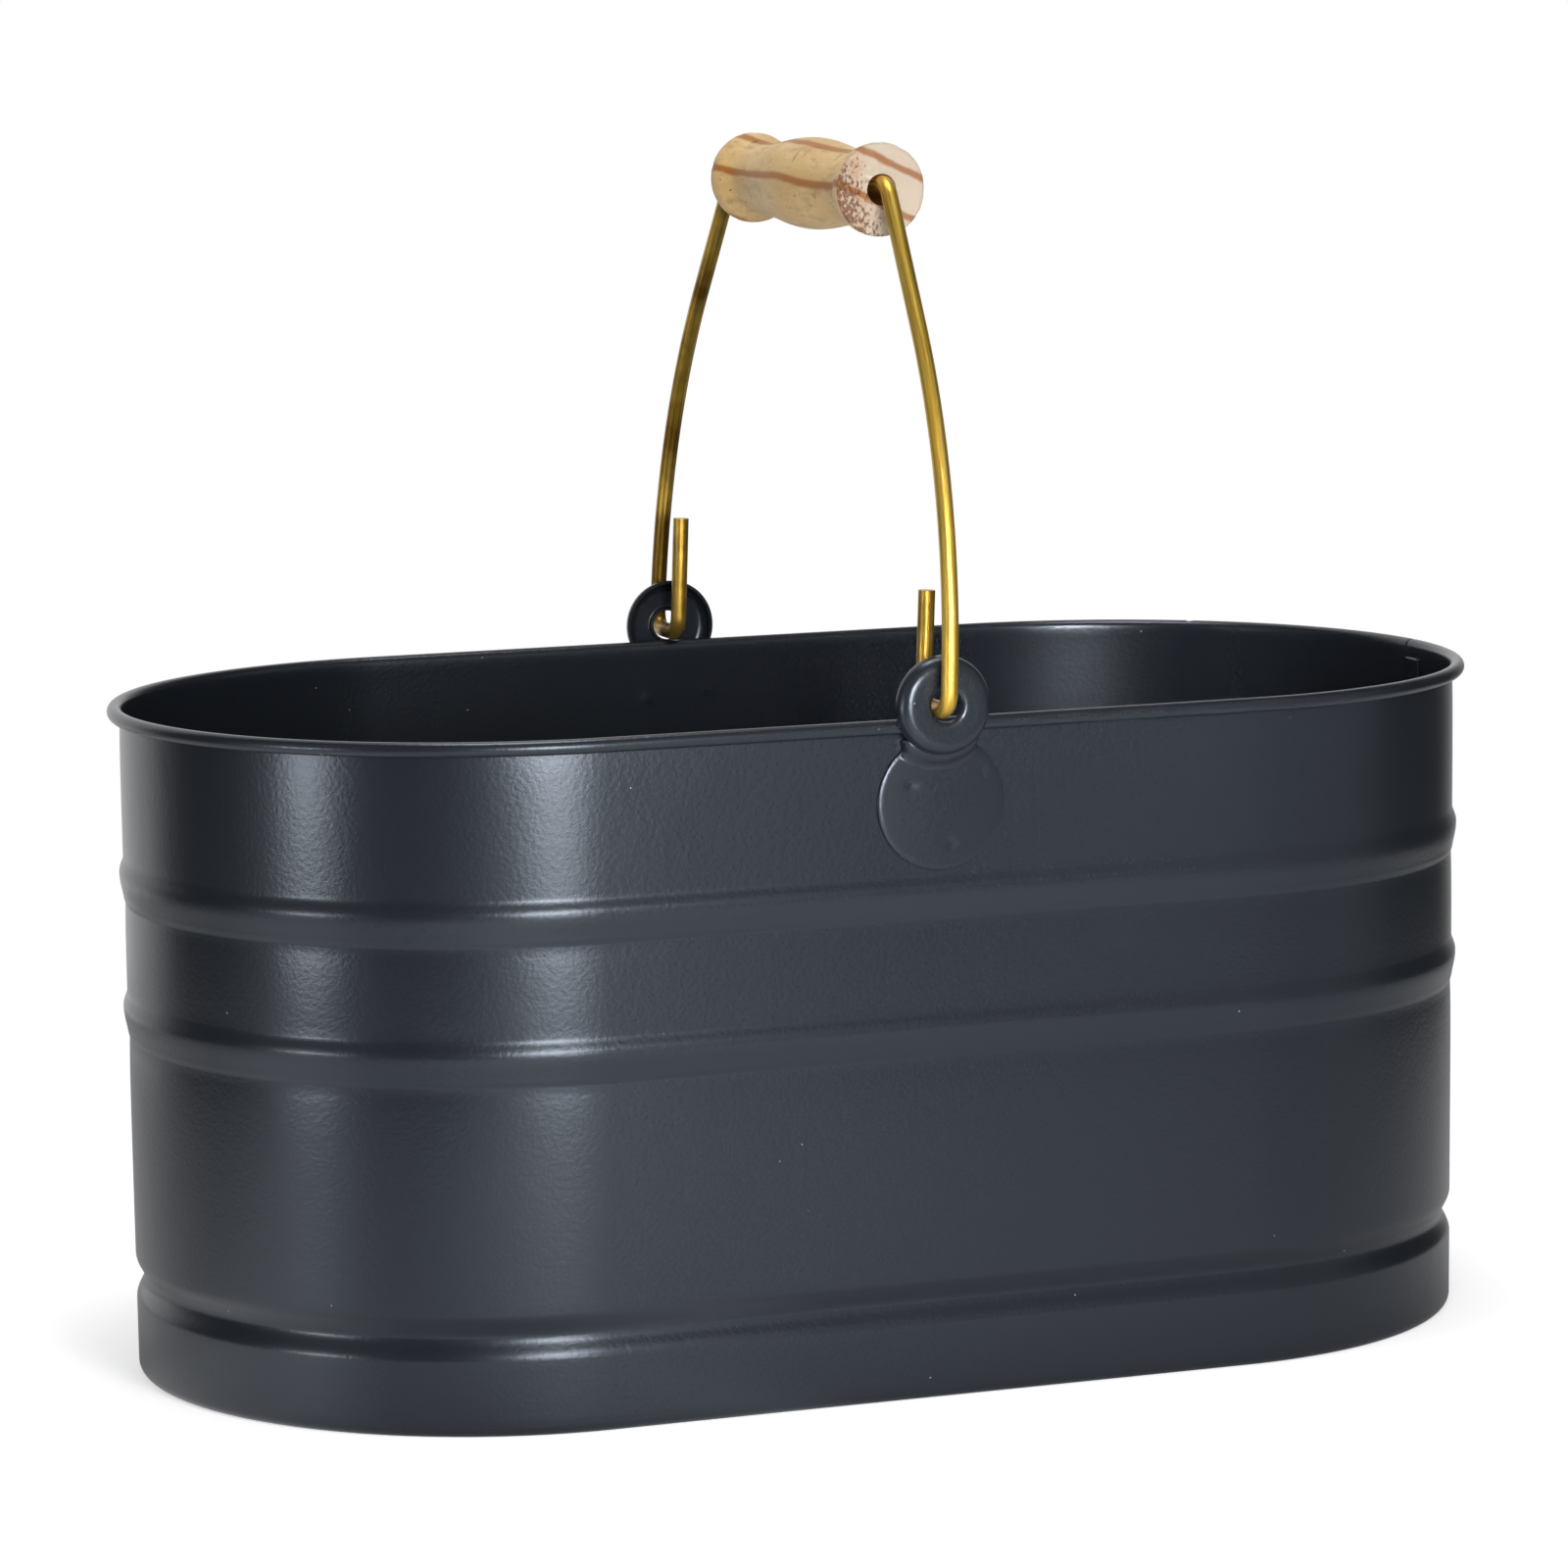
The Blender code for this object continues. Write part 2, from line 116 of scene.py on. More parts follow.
# Fine shape that the CAD leaves out
DRAW_DEPTH = 0.0003
DRAW_REACH = 0.007
DRAW_LEAD = 0.002
CLINCH_RADIUS = 0.0013
CLINCH_DEPTH = 0.00022
FRONT_CLINCH_SHARES = ((-0.47, 0.29), (0.65, 0.42), (0.13, -0.62))
REAR_CLINCH_SHARES = ((-0.47, 0.38), (0.52, 0.31), (0.03, -0.62))
FRONT_EAR_TWIST = math.radians(1.7)
EAR_SHOULDER = 0.0013
EAR_SHOULDER_DROP = 0.0004
EAR_DISC_DOME = 0.0005
NECK_TUCK = 0.0006
NECK_FILLET_RUN = 0.0030
NECK_INSET = 0.0004
NECK_SIDE_DROP = 0.0009
NECK_SIDE_POWER = 12
LAP_SHEET = 0.0005
LAP_WIDTH = 0.0081
LAP_TOP = 0.179
LAP_BOTTOM = 0.0215
NOTCH_FROM_MIDDLE = 0.0040
NOTCH_HALF = 0.0005
NOTCH_SHARE = 0.16
GRIP_EDGE_ROUND = 0.0010

# Keeps the fine shape inside the CAD box, whatever the rounding of its numbers
KEEP_INSIDE_SHARE = 0.99997

# Torn end grain; the fractal is its roughness, the step between octaves and their number
END_PIT_DEPTH = 0.0007
END_PIT_SCALE = 700.0
END_PIT_FRACTAL = (1.0, 2.0, 3)
EDGE_CHIP_DEPTH = 0.00035
EDGE_CHIP_SCALE = 420.0
EDGE_CHIP_START = 0.12
EDGE_CHIP_REACH = 3 * GRIP_EDGE_ROUND

# Steps of the fine meshes
END_COLUMNS = 72
SIDE_COLUMNS = 10
EAR_COLUMN_STEP = 0.0009
EAR_COLUMN_REACH = 0.0165
SEAM_COLUMN_STEP = 0.00028
SEAM_COLUMN_REACH = 0.0062
PANEL_ROW_STEP = 0.0026
FOLD_ROW_STEP = 0.00045
EAR_ROW_STEP = 0.0009
CURL_STEPS = 20
FOOT_STEPS = 8
RING_STEPS = 96
RING_CORNER_STEPS = 12
RING_FACE_STEPS = 5
RING_LIP_STEPS = 7
SHOULDER_STEPS = 6
DISC_RING_STEP = 0.0008
NECK_STEPS = 14
NECK_COLUMNS = 36
LAP_COLUMNS = 8
WIRE_STEPS = 24
BEND_STEPS = 14
LEG_STEPS = 40
GRIP_STEPS = 128
GRIP_ROW_STEP = 0.0009
GRIP_EDGE_STEPS = 3
CREASE_ANGLE = math.radians(38.0)
TOLERANCE = 0.00001

# Worked out
END_RADIUS = RIM_OUTER - CURL_DIAMETER + SHEET
CURL_MID_RADIUS = (CURL_DIAMETER - SHEET) / 2
CURL_UNDERSIDE = TUB_HEIGHT - CURL_DIAMETER
EAR_DISC_HEIGHT = CURL_UNDERSIDE - EAR_RIM_GAP - EAR_DISC_RADIUS
UPPER_BEAD_TOP = EAR_DISC_HEIGHT - EAR_DISC_RADIUS - EAR_BEAD_GAP
WIRE_RADIUS = WIRE_DIAMETER / 2
pivot = Vector(frame["joints"][0]["pos_m"])
ear_low, ear_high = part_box("ear_front")
RING_HEIGHT = ear_high.z - RING_RADIUS
FRONT_EAR_SHIFT = (ear_low.x + ear_high.x) / 2
REAR_EAR_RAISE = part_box("ear_rear")[1].z - ear_high.z
RING_BACK = RIM_OUTER + SEAT_GAP
grip_low, grip_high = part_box("wooden_grip")
grip_middle = (grip_low + grip_high) / 2
GRIP_LENGTH = grip_high.y - grip_low.y
GRIP_RADIUS = (grip_high.z - grip_low.z) / 2 * KEEP_INSIDE_SHARE


# Small helpers

def eased(part):
    """0 to 1 with a soft start and end."""
    part = max(0.0, min(1.0, part))
    return (1.0 - math.cos(math.pi * part)) / 2


def hump(height, bottom, crest, top):
    """1 at the crest, easing to 0 at the bottom and at the top."""
    if height <= crest:
        return eased((height - bottom) / (crest - bottom))
    return eased((top - height) / (top - crest))


def arc_points(centre, radius, start, sweep, steps):
    """Points along an arc, both ends included; angles in radians."""
    return [
        (
            centre[0] + radius * math.cos(start + sweep * step / steps),
            centre[1] + radius * math.sin(start + sweep * step / steps),
        )
        for step in range(steps + 1)
    ]


def spaced(low, high, step):
    """Evenly spaced values from low to just before high, about a step apart."""
    count = max(1, round((high - low) / step))
    return [low + (high - low) * index / count for index in range(count)]


def skin(work, lines, closed=False):
    """Faces between neighbouring lines of points; closed joins each line's end to its start."""
    count = len(lines[0])
    for line, after in zip(lines, lines[1:]):
        for index in range(count if closed else count - 1):
            beside = (index + 1) % count
            work.faces.new((line[index], after[index], after[beside], line[beside]))


def in_scene(name, data):
    """An object in the scene that holds a mesh, a lamp or a camera."""
    made = bpy.data.objects.new(name, data)
    bpy.context.scene.collection.objects.link(made)
    return made


def plain_object(work, name):
    """An object in the scene made of a bmesh, which is used up."""
    mesh = bpy.data.meshes.new(name)
    work.to_mesh(mesh)
    work.free()
    return in_scene(name, mesh)


def piece_from(work, name, material, body, slot, *nodes):
    """A smooth-shaded piece made of a bmesh, riding on a body in place of its CAD nodes."""
    made = plain_object(work, name)
    made.data.shade_smooth()
    made.data.set_sharp_from_angle(angle=CREASE_ANGLE)
    made.data.materials.append(material)
    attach(made, body)
    if nodes:
        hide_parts(*nodes)
    return made


# Node helpers

WHITE = (1.0, 1.0, 1.0)
SPOT_EDGE = (0.3, 0.5)

# The mix node's colour sockets, by number because its other sockets have the same names
MIX_COLOURS = (6, 7)
MIX_RESULT = 2


class Tree:
    """A material's or the world's node tree, with short ways to add and join nodes."""

    def __init__(self, owner):
        owner.use_nodes = True
        self.nodes = owner.node_tree.nodes
        self.links = owner.node_tree.links

    def add(self, kind, **values):
        """A new shader node with some of its settings."""
        made = self.nodes.new("ShaderNode" + kind)
        for name, value in values.items():
            setattr(made, name, value)
        return made

    def join(self, source, target):
        """Link a node's output to a socket."""
        self.links.new(source, target)

    def fill(self, node, values):
        """Link a node's inputs to other nodes' outputs, or set them to plain values, by name or number."""
        for key, value in values.items():
            if isinstance(value, bpy.types.NodeSocket):
                self.join(value, node.inputs[key])
            elif isinstance(value, tuple) and node.inputs[key].type == "RGBA":
                node.inputs[key].default_value = (*value, 1.0)
            else:
                node.inputs[key].default_value = value

    def maths(self, operation, *values):
        """The result of a maths node; each value is a number or a node's output."""
        made = self.add("Math", operation=operation)
        self.fill(made, dict(enumerate(values)))
        return made.outputs[0]

    def vector(self, operation, *values):
        """The result of a vector node; each value is a vector or a node's output."""
        made = self.add("VectorMath", operation=operation)
        self.fill(made, dict(enumerate(values)))
        return made.outputs["Value" if operation in ("DOT_PRODUCT", "DISTANCE", "LENGTH") else "Vector"]

    def split(self, vector):
        """The outputs X, Y and Z of a vector."""
        made = self.add("SeparateXYZ")
        self.join(vector, made.inputs[0])
        return made.outputs

    def noise(self, place, scale, detail=2.0, roughness=0.5):
        """Noise from 0 to 1 with the same scale along every axis."""
        made = self.add("TexNoise")
        self.fill(made, {"Vector": place, "Scale": scale, "Detail": detail, "Roughness": roughness})
        return made.outputs["Fac"]

    def grain(self, place, scales, detail, roughness):
        """Noise from 0 to 1 with a scale of its own along each axis."""
        return self.noise(self.vector("MULTIPLY", place, scales), 1.0, detail, roughness)

    def ramp(self, value, stops):
        """A grey or coloured ramp; each stop is (place, grey or colour)."""
        made = self.add("ValToRGB")
        self.join(value, made.inputs["Fac"])
        elements = made.color_ramp.elements
        while len(elements) < len(stops):
            elements.new(0.5)
        for element, (place, colour) in zip(elements, stops):
            element.position = place
            element.color = (*colour, 1.0) if isinstance(colour, tuple) else (colour, colour, colour, 1.0)
        return made.outputs["Color"]

    def fade(self, value, edge, before, after):
        """One level before an edge, another after it; the edge is a range over which they blend."""
        return self.ramp(value, [(edge[0], before), (edge[1], after)])

    def mix(self, factor, first, second):
        """The first colour at factor 0 and the second at factor 1."""
        made = self.add("Mix", data_type="RGBA")
        self.fill(made, {"Factor": factor, MIX_COLOURS[0]: first, MIX_COLOURS[1]: second})
        return made.outputs[MIX_RESULT]

    def bump(self, height, distance, normal=None):
        """A normal tilted by a height from 0 to 1 times a distance in metres."""
        made = self.add("Bump")
        self.fill(made, {"Height": height, "Distance": distance})
        if normal is not None:
            self.join(normal, made.inputs["Normal"])
        return made.outputs["Normal"]

    def spot(self, place, centre, radius):
        """1 inside a ball round a point, 0 outside, with a soft edge."""
        away = self.vector("DISTANCE", place, centre)
        return self.fade(self.maths("DIVIDE", away, radius * 2), SPOT_EDGE, 1.0, 0.0)


def new_material(name, roughness, metallic=0.0):
    """A material with its tree, its main shader and the place of a point in the object's rest frame."""
    material = bpy.data.materials.new(name)
    tree = Tree(material)
    shader = tree.nodes["Principled BSDF"]
    tree.fill(shader, {"Roughness": roughness, "Metallic": metallic})
    place = tree.add("TexCoord").outputs["Object"]
    return material, tree, shader, place


# Powder coat; scales are per metre and heights in metres

COAT_ROUGHNESS = 0.27
COAT_COLOUR = (0.0098, 0.0120, 0.0158)
COAT_SHEEN_TINT = (0.78, 0.87, 1.0)
COAT_SPECK_COLOUR = (0.30, 0.31, 0.30)
NICK_COLOUR = (0.62, 0.64, 0.66)
PIT_COLOUR = (0.004, 0.004, 0.005)
NICK_PLACE = (0.1555, 0.0780, 0.1842)
NICK_RADIUS = 0.0014
PIT_PLACE = (0.1753, -0.0540, 0.1692)
PIT_RADIUS = 0.0007
SPECK_SCALE = 85.0
SPECK_EDGE = (0.014, 0.022)
WAVE_SCALE = 70.0
WAVE_HEIGHT = 0.00007
PEEL_SCALE = 800.0
PEEL_HEIGHT = 0.000055


def powder_coat():
    """Charcoal powder coat: satin, with fine orange peel, slow waves, dust specks, one chip and one pit."""
    material, tree, shader, place = new_material("charcoal powder coat", COAT_ROUGHNESS)
    specks = tree.add("TexVoronoi")
    tree.fill(specks, {"Vector": place, "Scale": SPECK_SCALE})
    speck = tree.fade(specks.outputs["Distance"], SPECK_EDGE, 1.0, 0.0)
    colour = tree.mix(speck, COAT_COLOUR, COAT_SPECK_COLOUR)
    colour = tree.mix(tree.spot(place, NICK_PLACE, NICK_RADIUS), colour, NICK_COLOUR)
    colour = tree.mix(tree.spot(place, PIT_PLACE, PIT_RADIUS), colour, PIT_COLOUR)
    waves = tree.bump(tree.noise(place, WAVE_SCALE), WAVE_HEIGHT)
    peel = tree.bump(tree.noise(place, PEEL_SCALE), PEEL_HEIGHT, waves)
    tree.fill(shader, {"Base Color": colour, "Specular Tint": COAT_SHEEN_TINT, "Normal": peel})
    return material


# Bright wire

WIRE_ROUGHNESS = 0.35
WIRE_DULL = (0.42, 0.42, 0.43)
WIRE_BRIGHT = (0.60, 0.60, 0.61)
WIRE_CLOUD_SCALE = 300.0
WIRE_CLOUD_DETAIL = 3.0
WIRE_CLOUD_EDGE = (0.35, 0.65)


def bright_wire():
    """Plain drawn steel wire inside the rim."""
    material, tree, shader, place = new_material("bright rim wire", WIRE_ROUGHNESS, 1.0)
    cloud = tree.noise(place, WIRE_CLOUD_SCALE, WIRE_CLOUD_DETAIL)
    tree.fill(shader, {"Base Color": tree.fade(cloud, WIRE_CLOUD_EDGE, WIRE_DULL, WIRE_BRIGHT)})
    return material


# Antique brass; a grain is its scales along three axes, its detail and its roughness

BRASS_ROUGHNESS = 0.42
BRASS_METALLIC = 0.88
BRASS_DARK = (0.16, 0.078, 0.003)
BRASS_OLIVE = (0.33, 0.235, 0.060)
BRASS_GOLD = (0.66, 0.405, 0.045)
BRASS_PALE = (0.66, 0.51, 0.18)
# Painted shade: how much browner the brass gets towards the rear (+Y), darkening the far leg
REAR_PAINTED_SHADE = 1.6
# How much darker the front stub and its bend are made
FRONT_STUB_DARKENING = 0.36
FRONT_STUB_LENGTH = 0.036
FRONT_STUB_EDGE = (FRONT_STUB_LENGTH, FRONT_STUB_LENGTH + 2 * HOOK_BEND_RADIUS)
STREAK_GRAIN = ((3.2, 3.2, 26.0), 4.0, 0.6)
STREAK_STOPS = ((0.35, BRASS_OLIVE), (0.52, BRASS_GOLD), (0.68, BRASS_PALE))
STREAK_HEIGHT = 0.00012
TARNISH_SCALE = 60.0
TARNISH_DETAIL = 3.0
TARNISH_AND_SHADE_EDGE = (0.50, 0.72)
TARNISH_AND_SHADE_STRENGTH = 0.85
POLISH_GRAIN = ((5.0, 5.0, 60.0), 3.0, 0.5)
POLISH_EDGE = (0.30, 0.70)
POLISH_ROUGHNESS = (0.33, 0.47)
LACQUER_WEIGHT = 0.12
LACQUER_ROUGHNESS = 0.22


def antique_brass():
    """Drawn brass-coloured wire: lengthwise streaks of olive and gold with brown tarnish.

    The brown comes in tarnished patches, with painted shade that darkens it towards the rear, and the front
    stub is made darker too. The lay is the surface's cosine and sine round the wire and the distance along
    it.
    """
    material, tree, shader, place = new_material("antique brass", BRASS_ROUGHNESS, BRASS_METALLIC)
    lay = tree.add("Attribute", attribute_name="lay").outputs["Vector"]
    streaks = tree.grain(lay, *STREAK_GRAIN)
    cloud = tree.noise(place, TARNISH_SCALE, TARNISH_DETAIL)
    # Painted shade: the brown grows towards the rear (+Y); the noise under it gives the real tarnished
    # patches
    cloud = tree.maths("MULTIPLY_ADD", tree.split(place)["Y"], REAR_PAINTED_SHADE, cloud)
    # Darker on the front stub and its bend
    stub = tree.fade(tree.split(lay)["Z"], FRONT_STUB_EDGE, FRONT_STUB_DARKENING, 0.0)
    cloud = tree.maths("ADD", cloud, stub)
    tarnish_and_painted_shade = tree.fade(cloud, TARNISH_AND_SHADE_EDGE, 0.0, TARNISH_AND_SHADE_STRENGTH)
    tree.fill(shader, {
        "Base Color": tree.mix(tarnish_and_painted_shade, tree.ramp(streaks, STREAK_STOPS), BRASS_DARK),
        "Roughness": tree.fade(tree.grain(lay, *POLISH_GRAIN), POLISH_EDGE, *POLISH_ROUGHNESS),
        "Coat Weight": LACQUER_WEIGHT,
        "Coat Roughness": LACQUER_ROUGHNESS,
        "Normal": tree.bump(streaks, STREAK_HEIGHT),
    })
    return material


# Pine; each grain is as for the brass

PINE_CREAM = (0.68, 0.44, 0.17)
PINE_PALE = (0.78, 0.55, 0.26)
PINE_SHADE = (0.54, 0.34, 0.15)
PINE_BAND = (0.39, 0.13, 0.012)
PINE_FLECK = (0.17, 0.085, 0.035)
PINE_END = (0.56, 0.465, 0.365)
PINE_END_ROSE = (0.50, 0.31, 0.20)
PINE_END_BAND = (0.31, 0.115, 0.035)
PINE_PORE = (0.22, 0.09, 0.045)

# Growth layers; each waver is a grain and its reach in metres
LAYER_TILT = math.radians(24.4)
LAYER_SPACING = 0.0114
LAYER_FIRST = -0.0030
LAYER_RISE_SHARE = 0.020
LAYER_WAVERS = (
    (((30.0, 26.0, 30.0), 2.0, 0.5), 0.0034),
    (((260.0, 40.0, 260.0), 3.0, 0.5), 0.0010),
)
LAYER_EDGE = (0.05, 0.115)

# Turned side
KNOT_PLACE = (-0.0080, -0.0236, 0.0094)
KNOT_RADIUS = 0.0007
SIDE_ROUGHNESS = 0.5
SIDE_SPECULAR = 0.3
SIDE_BAND_STRENGTH = 0.92
VARNISH_WEIGHT = 0.06
VARNISH_ROUGHNESS = 0.25
CLOUD_GRAIN = ((120.0, 45.0, 120.0), 4.0, 0.5)
CLOUD_EDGE = (0.35, 0.62)
SHADE_GRAIN = ((260.0, 90.0, 260.0), 4.0, 0.6)
SHADE_EDGE = (0.50, 0.68)
SHADE_STRENGTH = 0.85
FIBRE_GRAIN = ((1500.0, 110.0, 1500.0), 3.0, 0.65)
FIBRE_EDGE = (0.60, 0.78)
FIBRE_STRENGTH = 0.5
FIBRE_HEIGHT = 0.00012
RINGWISE_CRACK_GRAIN = ((170.0, 900.0, 170.0), 3.0, 0.6)
RINGWISE_CRACK_EDGE = (0.66, 0.72)
LENGTHWISE_CRACK_GRAIN = ((900.0, 260.0, 900.0), 3.0, 0.6)
LENGTHWISE_CRACK_EDGE = (0.67, 0.73)
CRACK_STRENGTH = 0.8
CRACK_DEPTH = 0.0003

# Sawn ends
END_ROUGHNESS = 0.8
END_SPECULAR = 0.2
END_BAND_STRENGTH = 0.85
TORN_LEAN = (-19.0, 0.0, -8.0)
ROSE_GRAIN = ((200.0, 40.0, 200.0), 3.0, 0.5)
ROSE_EDGE = (0.50, 0.72)
ROSE_STRENGTH = 0.7
PORE_GRAIN = ((1100.0, 60.0, 700.0), 3.0, 0.6)
PORE_EDGE = (0.65, 0.79)
PORE_STRENGTH = 0.85
PORE_DEPTH = 0.0006


def pine_layers(tree, local):
    """1 on the thin dark growth layers that run along the grip, 0 in the pale wood between."""
    across = (math.sin(LAYER_TILT), -LAYER_RISE_SHARE, math.cos(LAYER_TILT))
    depth = tree.vector("DOT_PRODUCT", local, across)
    for grain, reach in LAYER_WAVERS:
        waver = tree.maths("SUBTRACT", tree.grain(local, *grain), 0.5)
        depth = tree.maths("ADD", depth, tree.maths("MULTIPLY", waver, reach))
    turn = tree.maths("DIVIDE", tree.maths("SUBTRACT", depth, LAYER_FIRST), LAYER_SPACING)
    return tree.fade(tree.maths("PINGPONG", turn, 0.5), LAYER_EDGE, 1.0, 0.0)


def pine_side():
    """Turned face of the grip: varnished cream wood with fibres, short cracks and a small knot."""
    material, tree, shader, place = new_material("varnished pine", SIDE_ROUGHNESS)
    local = tree.vector("SUBTRACT", place, tuple(grip_middle))
    cloud = tree.fade(tree.grain(local, *CLOUD_GRAIN), CLOUD_EDGE, 0.0, 1.0)
    shade = tree.fade(tree.grain(local, *SHADE_GRAIN), SHADE_EDGE, 0.0, SHADE_STRENGTH)
    band = tree.maths("MULTIPLY", pine_layers(tree, local), SIDE_BAND_STRENGTH)
    fibre = tree.grain(local, *FIBRE_GRAIN)
    ringwise = tree.fade(tree.grain(local, *RINGWISE_CRACK_GRAIN), RINGWISE_CRACK_EDGE, 0.0, CRACK_STRENGTH)
    lengthwise = tree.grain(local, *LENGTHWISE_CRACK_GRAIN)
    lengthwise = tree.fade(lengthwise, LENGTHWISE_CRACK_EDGE, 0.0, CRACK_STRENGTH)
    crack = tree.maths("MAXIMUM", ringwise, lengthwise)
    colour = tree.mix(cloud, PINE_CREAM, PINE_PALE)
    colour = tree.mix(shade, colour, PINE_SHADE)
    colour = tree.mix(band, colour, PINE_BAND)
    colour = tree.mix(tree.fade(fibre, FIBRE_EDGE, 0.0, FIBRE_STRENGTH), colour, PINE_SHADE)
    colour = tree.mix(crack, colour, PINE_FLECK)
    colour = tree.mix(tree.spot(local, KNOT_PLACE, KNOT_RADIUS), colour, PINE_FLECK)
    fibres = tree.bump(fibre, FIBRE_HEIGHT)
    tree.fill(shader, {
        "Base Color": colour,
        "Specular IOR Level": SIDE_SPECULAR,
        "Coat Weight": VARNISH_WEIGHT,
        "Coat Roughness": VARNISH_ROUGHNESS,
        "Normal": tree.bump(tree.maths("SUBTRACT", 1.0, crack), CRACK_DEPTH, fibres),
    })
    return material


def pine_end():
    """Sawn end grain: pinkish and rough, more torn and pitted on one side, with the same growth layers."""
    material, tree, shader, place = new_material("pine end grain", END_ROUGHNESS)
    local = tree.vector("SUBTRACT", place, tuple(grip_middle))
    torn = tree.vector("DOT_PRODUCT", local, TORN_LEAN)
    rose = tree.maths("ADD", tree.grain(local, *ROSE_GRAIN), torn)
    band = tree.maths("MULTIPLY", pine_layers(tree, local), END_BAND_STRENGTH)
    pore = tree.maths("ADD", tree.grain(local, *PORE_GRAIN), torn)
    pore = tree.fade(pore, PORE_EDGE, 0.0, PORE_STRENGTH)
    colour = tree.mix(tree.fade(rose, ROSE_EDGE, 0.0, ROSE_STRENGTH), PINE_END, PINE_END_ROSE)
    colour = tree.mix(band, colour, PINE_END_BAND)
    colour = tree.mix(pore, colour, PINE_PORE)
    tree.fill(shader, {
        "Base Color": colour,
        "Specular IOR Level": END_SPECULAR,
        "Normal": tree.bump(pore, -PORE_DEPTH),
    })
    return material


# Tub

def bead_marks(top):
    """(bottom, crest, top) heights of an outward bead."""
    return top - BEAD_UPPER_SLOPE - BEAD_LOWER_SLOPE, top - BEAD_UPPER_SLOPE, top


UPPER_BEAD = bead_marks(UPPER_BEAD_TOP)
LOWER_BEAD = bead_marks(UPPER_BEAD_TOP - BEAD_SPACING)
GROOVE = (GROOVE_HEIGHT - GROOVE_SLOPE, GROOVE_HEIGHT, GROOVE_HEIGHT + GROOVE_SLOPE)
PULLED_EDGES = (UPPER_BEAD[0], LOWER_BEAD[0])
CURL_HEIGHT = TUB_HEIGHT - CURL_DIAMETER / 2


def straight_wall(height):
    """Distance out to the middle of the plain sheet."""
    return END_RADIUS - WALL_DRAFT * (1.0 - height / TUB_HEIGHT) - SHEET / 2


def pulled_in(height):
    """How far the sheet is drawn in under the rim and under each bead, fading downwards."""
    total = math.exp(min(0.0, height - CURL_UNDERSIDE) / DRAW_REACH)
    for edge in PULLED_EDGES:
        if height <= edge:
            total += math.exp((height - edge) / DRAW_REACH)
        else:
            total += eased(1.0 - (height - edge) / DRAW_LEAD)
    return DRAW_DEPTH * total


def wall_out(height):
    """Distance out to the middle of the sheet with its beads, groove and draws."""
    beads = hump(height, *UPPER_BEAD) + hump(height, *LOWER_BEAD)
    groove = hump(height, *GROOVE)
    return straight_wall(height) + BEAD_PROUD * beads - GROOVE_DEPTH * groove - pulled_in(height)


def wall_heights():
    """Heights of the wall's rows: close on the folds and behind the ears, wider on the plain panels."""
    marks = (
        (SHEET / 2 + FOOT_RADIUS, PANEL_ROW_STEP), (GROOVE[0], FOLD_ROW_STEP), (GROOVE[2], PANEL_ROW_STEP),
        (LOWER_BEAD[0], FOLD_ROW_STEP), (LOWER_BEAD[2], PANEL_ROW_STEP),
        (UPPER_BEAD[0], FOLD_ROW_STEP), (UPPER_BEAD[2], EAR_ROW_STEP), (CURL_HEIGHT, None),
    )
    heights = []
    for (low, step), (high, _) in zip(marks, marks[1:]):
        heights += spaced(low, high, step)
    return heights


def curl_centre():
    """(out, height) of the middle of the rolled rim."""
    return straight_wall(TUB_HEIGHT) - DRAW_DEPTH + CURL_MID_RADIUS, CURL_HEIGHT


def curl_points():
    """The rim, rolled outwards and down until its edge stands one small gap off the wall."""
    edge_inward = CURL_DIAMETER / 2 - SHEET - CURL_EDGE_GAP
    edge_turn = math.pi / 2 + math.asin(edge_inward / (CURL_DIAMETER / 2))
    return arc_points(curl_centre(), CURL_MID_RADIUS, math.pi, -math.pi - edge_turn, CURL_STEPS)


def foot_points(flat_edge, side, level):
    """A flat edge and a rounded corner up to an upright wall."""
    corner = (side - FOOT_RADIUS, level + FOOT_RADIUS)
    return [flat_edge] + arc_points(corner, FOOT_RADIUS, -math.pi / 2, math.pi / 2, FOOT_STEPS)[:-1]


def turn_column(centre_x, angle, along=None):
    """A plan column on one of the round ends."""
    return Vector((centre_x, 0.0, 0.0)), Vector((math.cos(angle), math.sin(angle), 0.0)), along


def side_column(x, outward_y):
    """A plan column on one of the straight sides."""
    return Vector((x, 0.0, 0.0)), Vector((0.0, outward_y, 0.0)), None


def oval_columns():
    """Plan columns once round from the seam: (place on the middle line, outward direction, along).

    Along is the distance from the seam on the end that holds it, and None on the rest.
    """
    arc = math.pi * END_RADIUS
    seam = spaced(0.0, SEAM_COLUMN_REACH, SEAM_COLUMN_STEP)
    half_end = seam + spaced(SEAM_COLUMN_REACH, arc / 2, arc / END_COLUMNS)
    half_side = spaced(0.0, EAR_COLUMN_REACH, EAR_COLUMN_STEP)
    half_side += spaced(EAR_COLUMN_REACH, SIDE_HALF_LENGTH, 2 * SIDE_HALF_LENGTH / SIDE_COLUMNS)
    side = [-SIDE_HALF_LENGTH] + [-x for x in half_side[:0:-1]] + half_side
    columns = [turn_column(SIDE_HALF_LENGTH, along / END_RADIUS, along) for along in half_end]
    columns += [side_column(-x, 1.0) for x in side]
    for step in range(END_COLUMNS):
        columns.append(turn_column(-SIDE_HALF_LENGTH, math.pi / 2 + math.pi * step / END_COLUMNS))
    columns += [side_column(x, -1.0) for x in side]
    for along in [arc / 2] + half_end[:0:-1]:
        columns.append(turn_column(SIDE_HALF_LENGTH, -along / END_RADIUS, -along))
    return columns


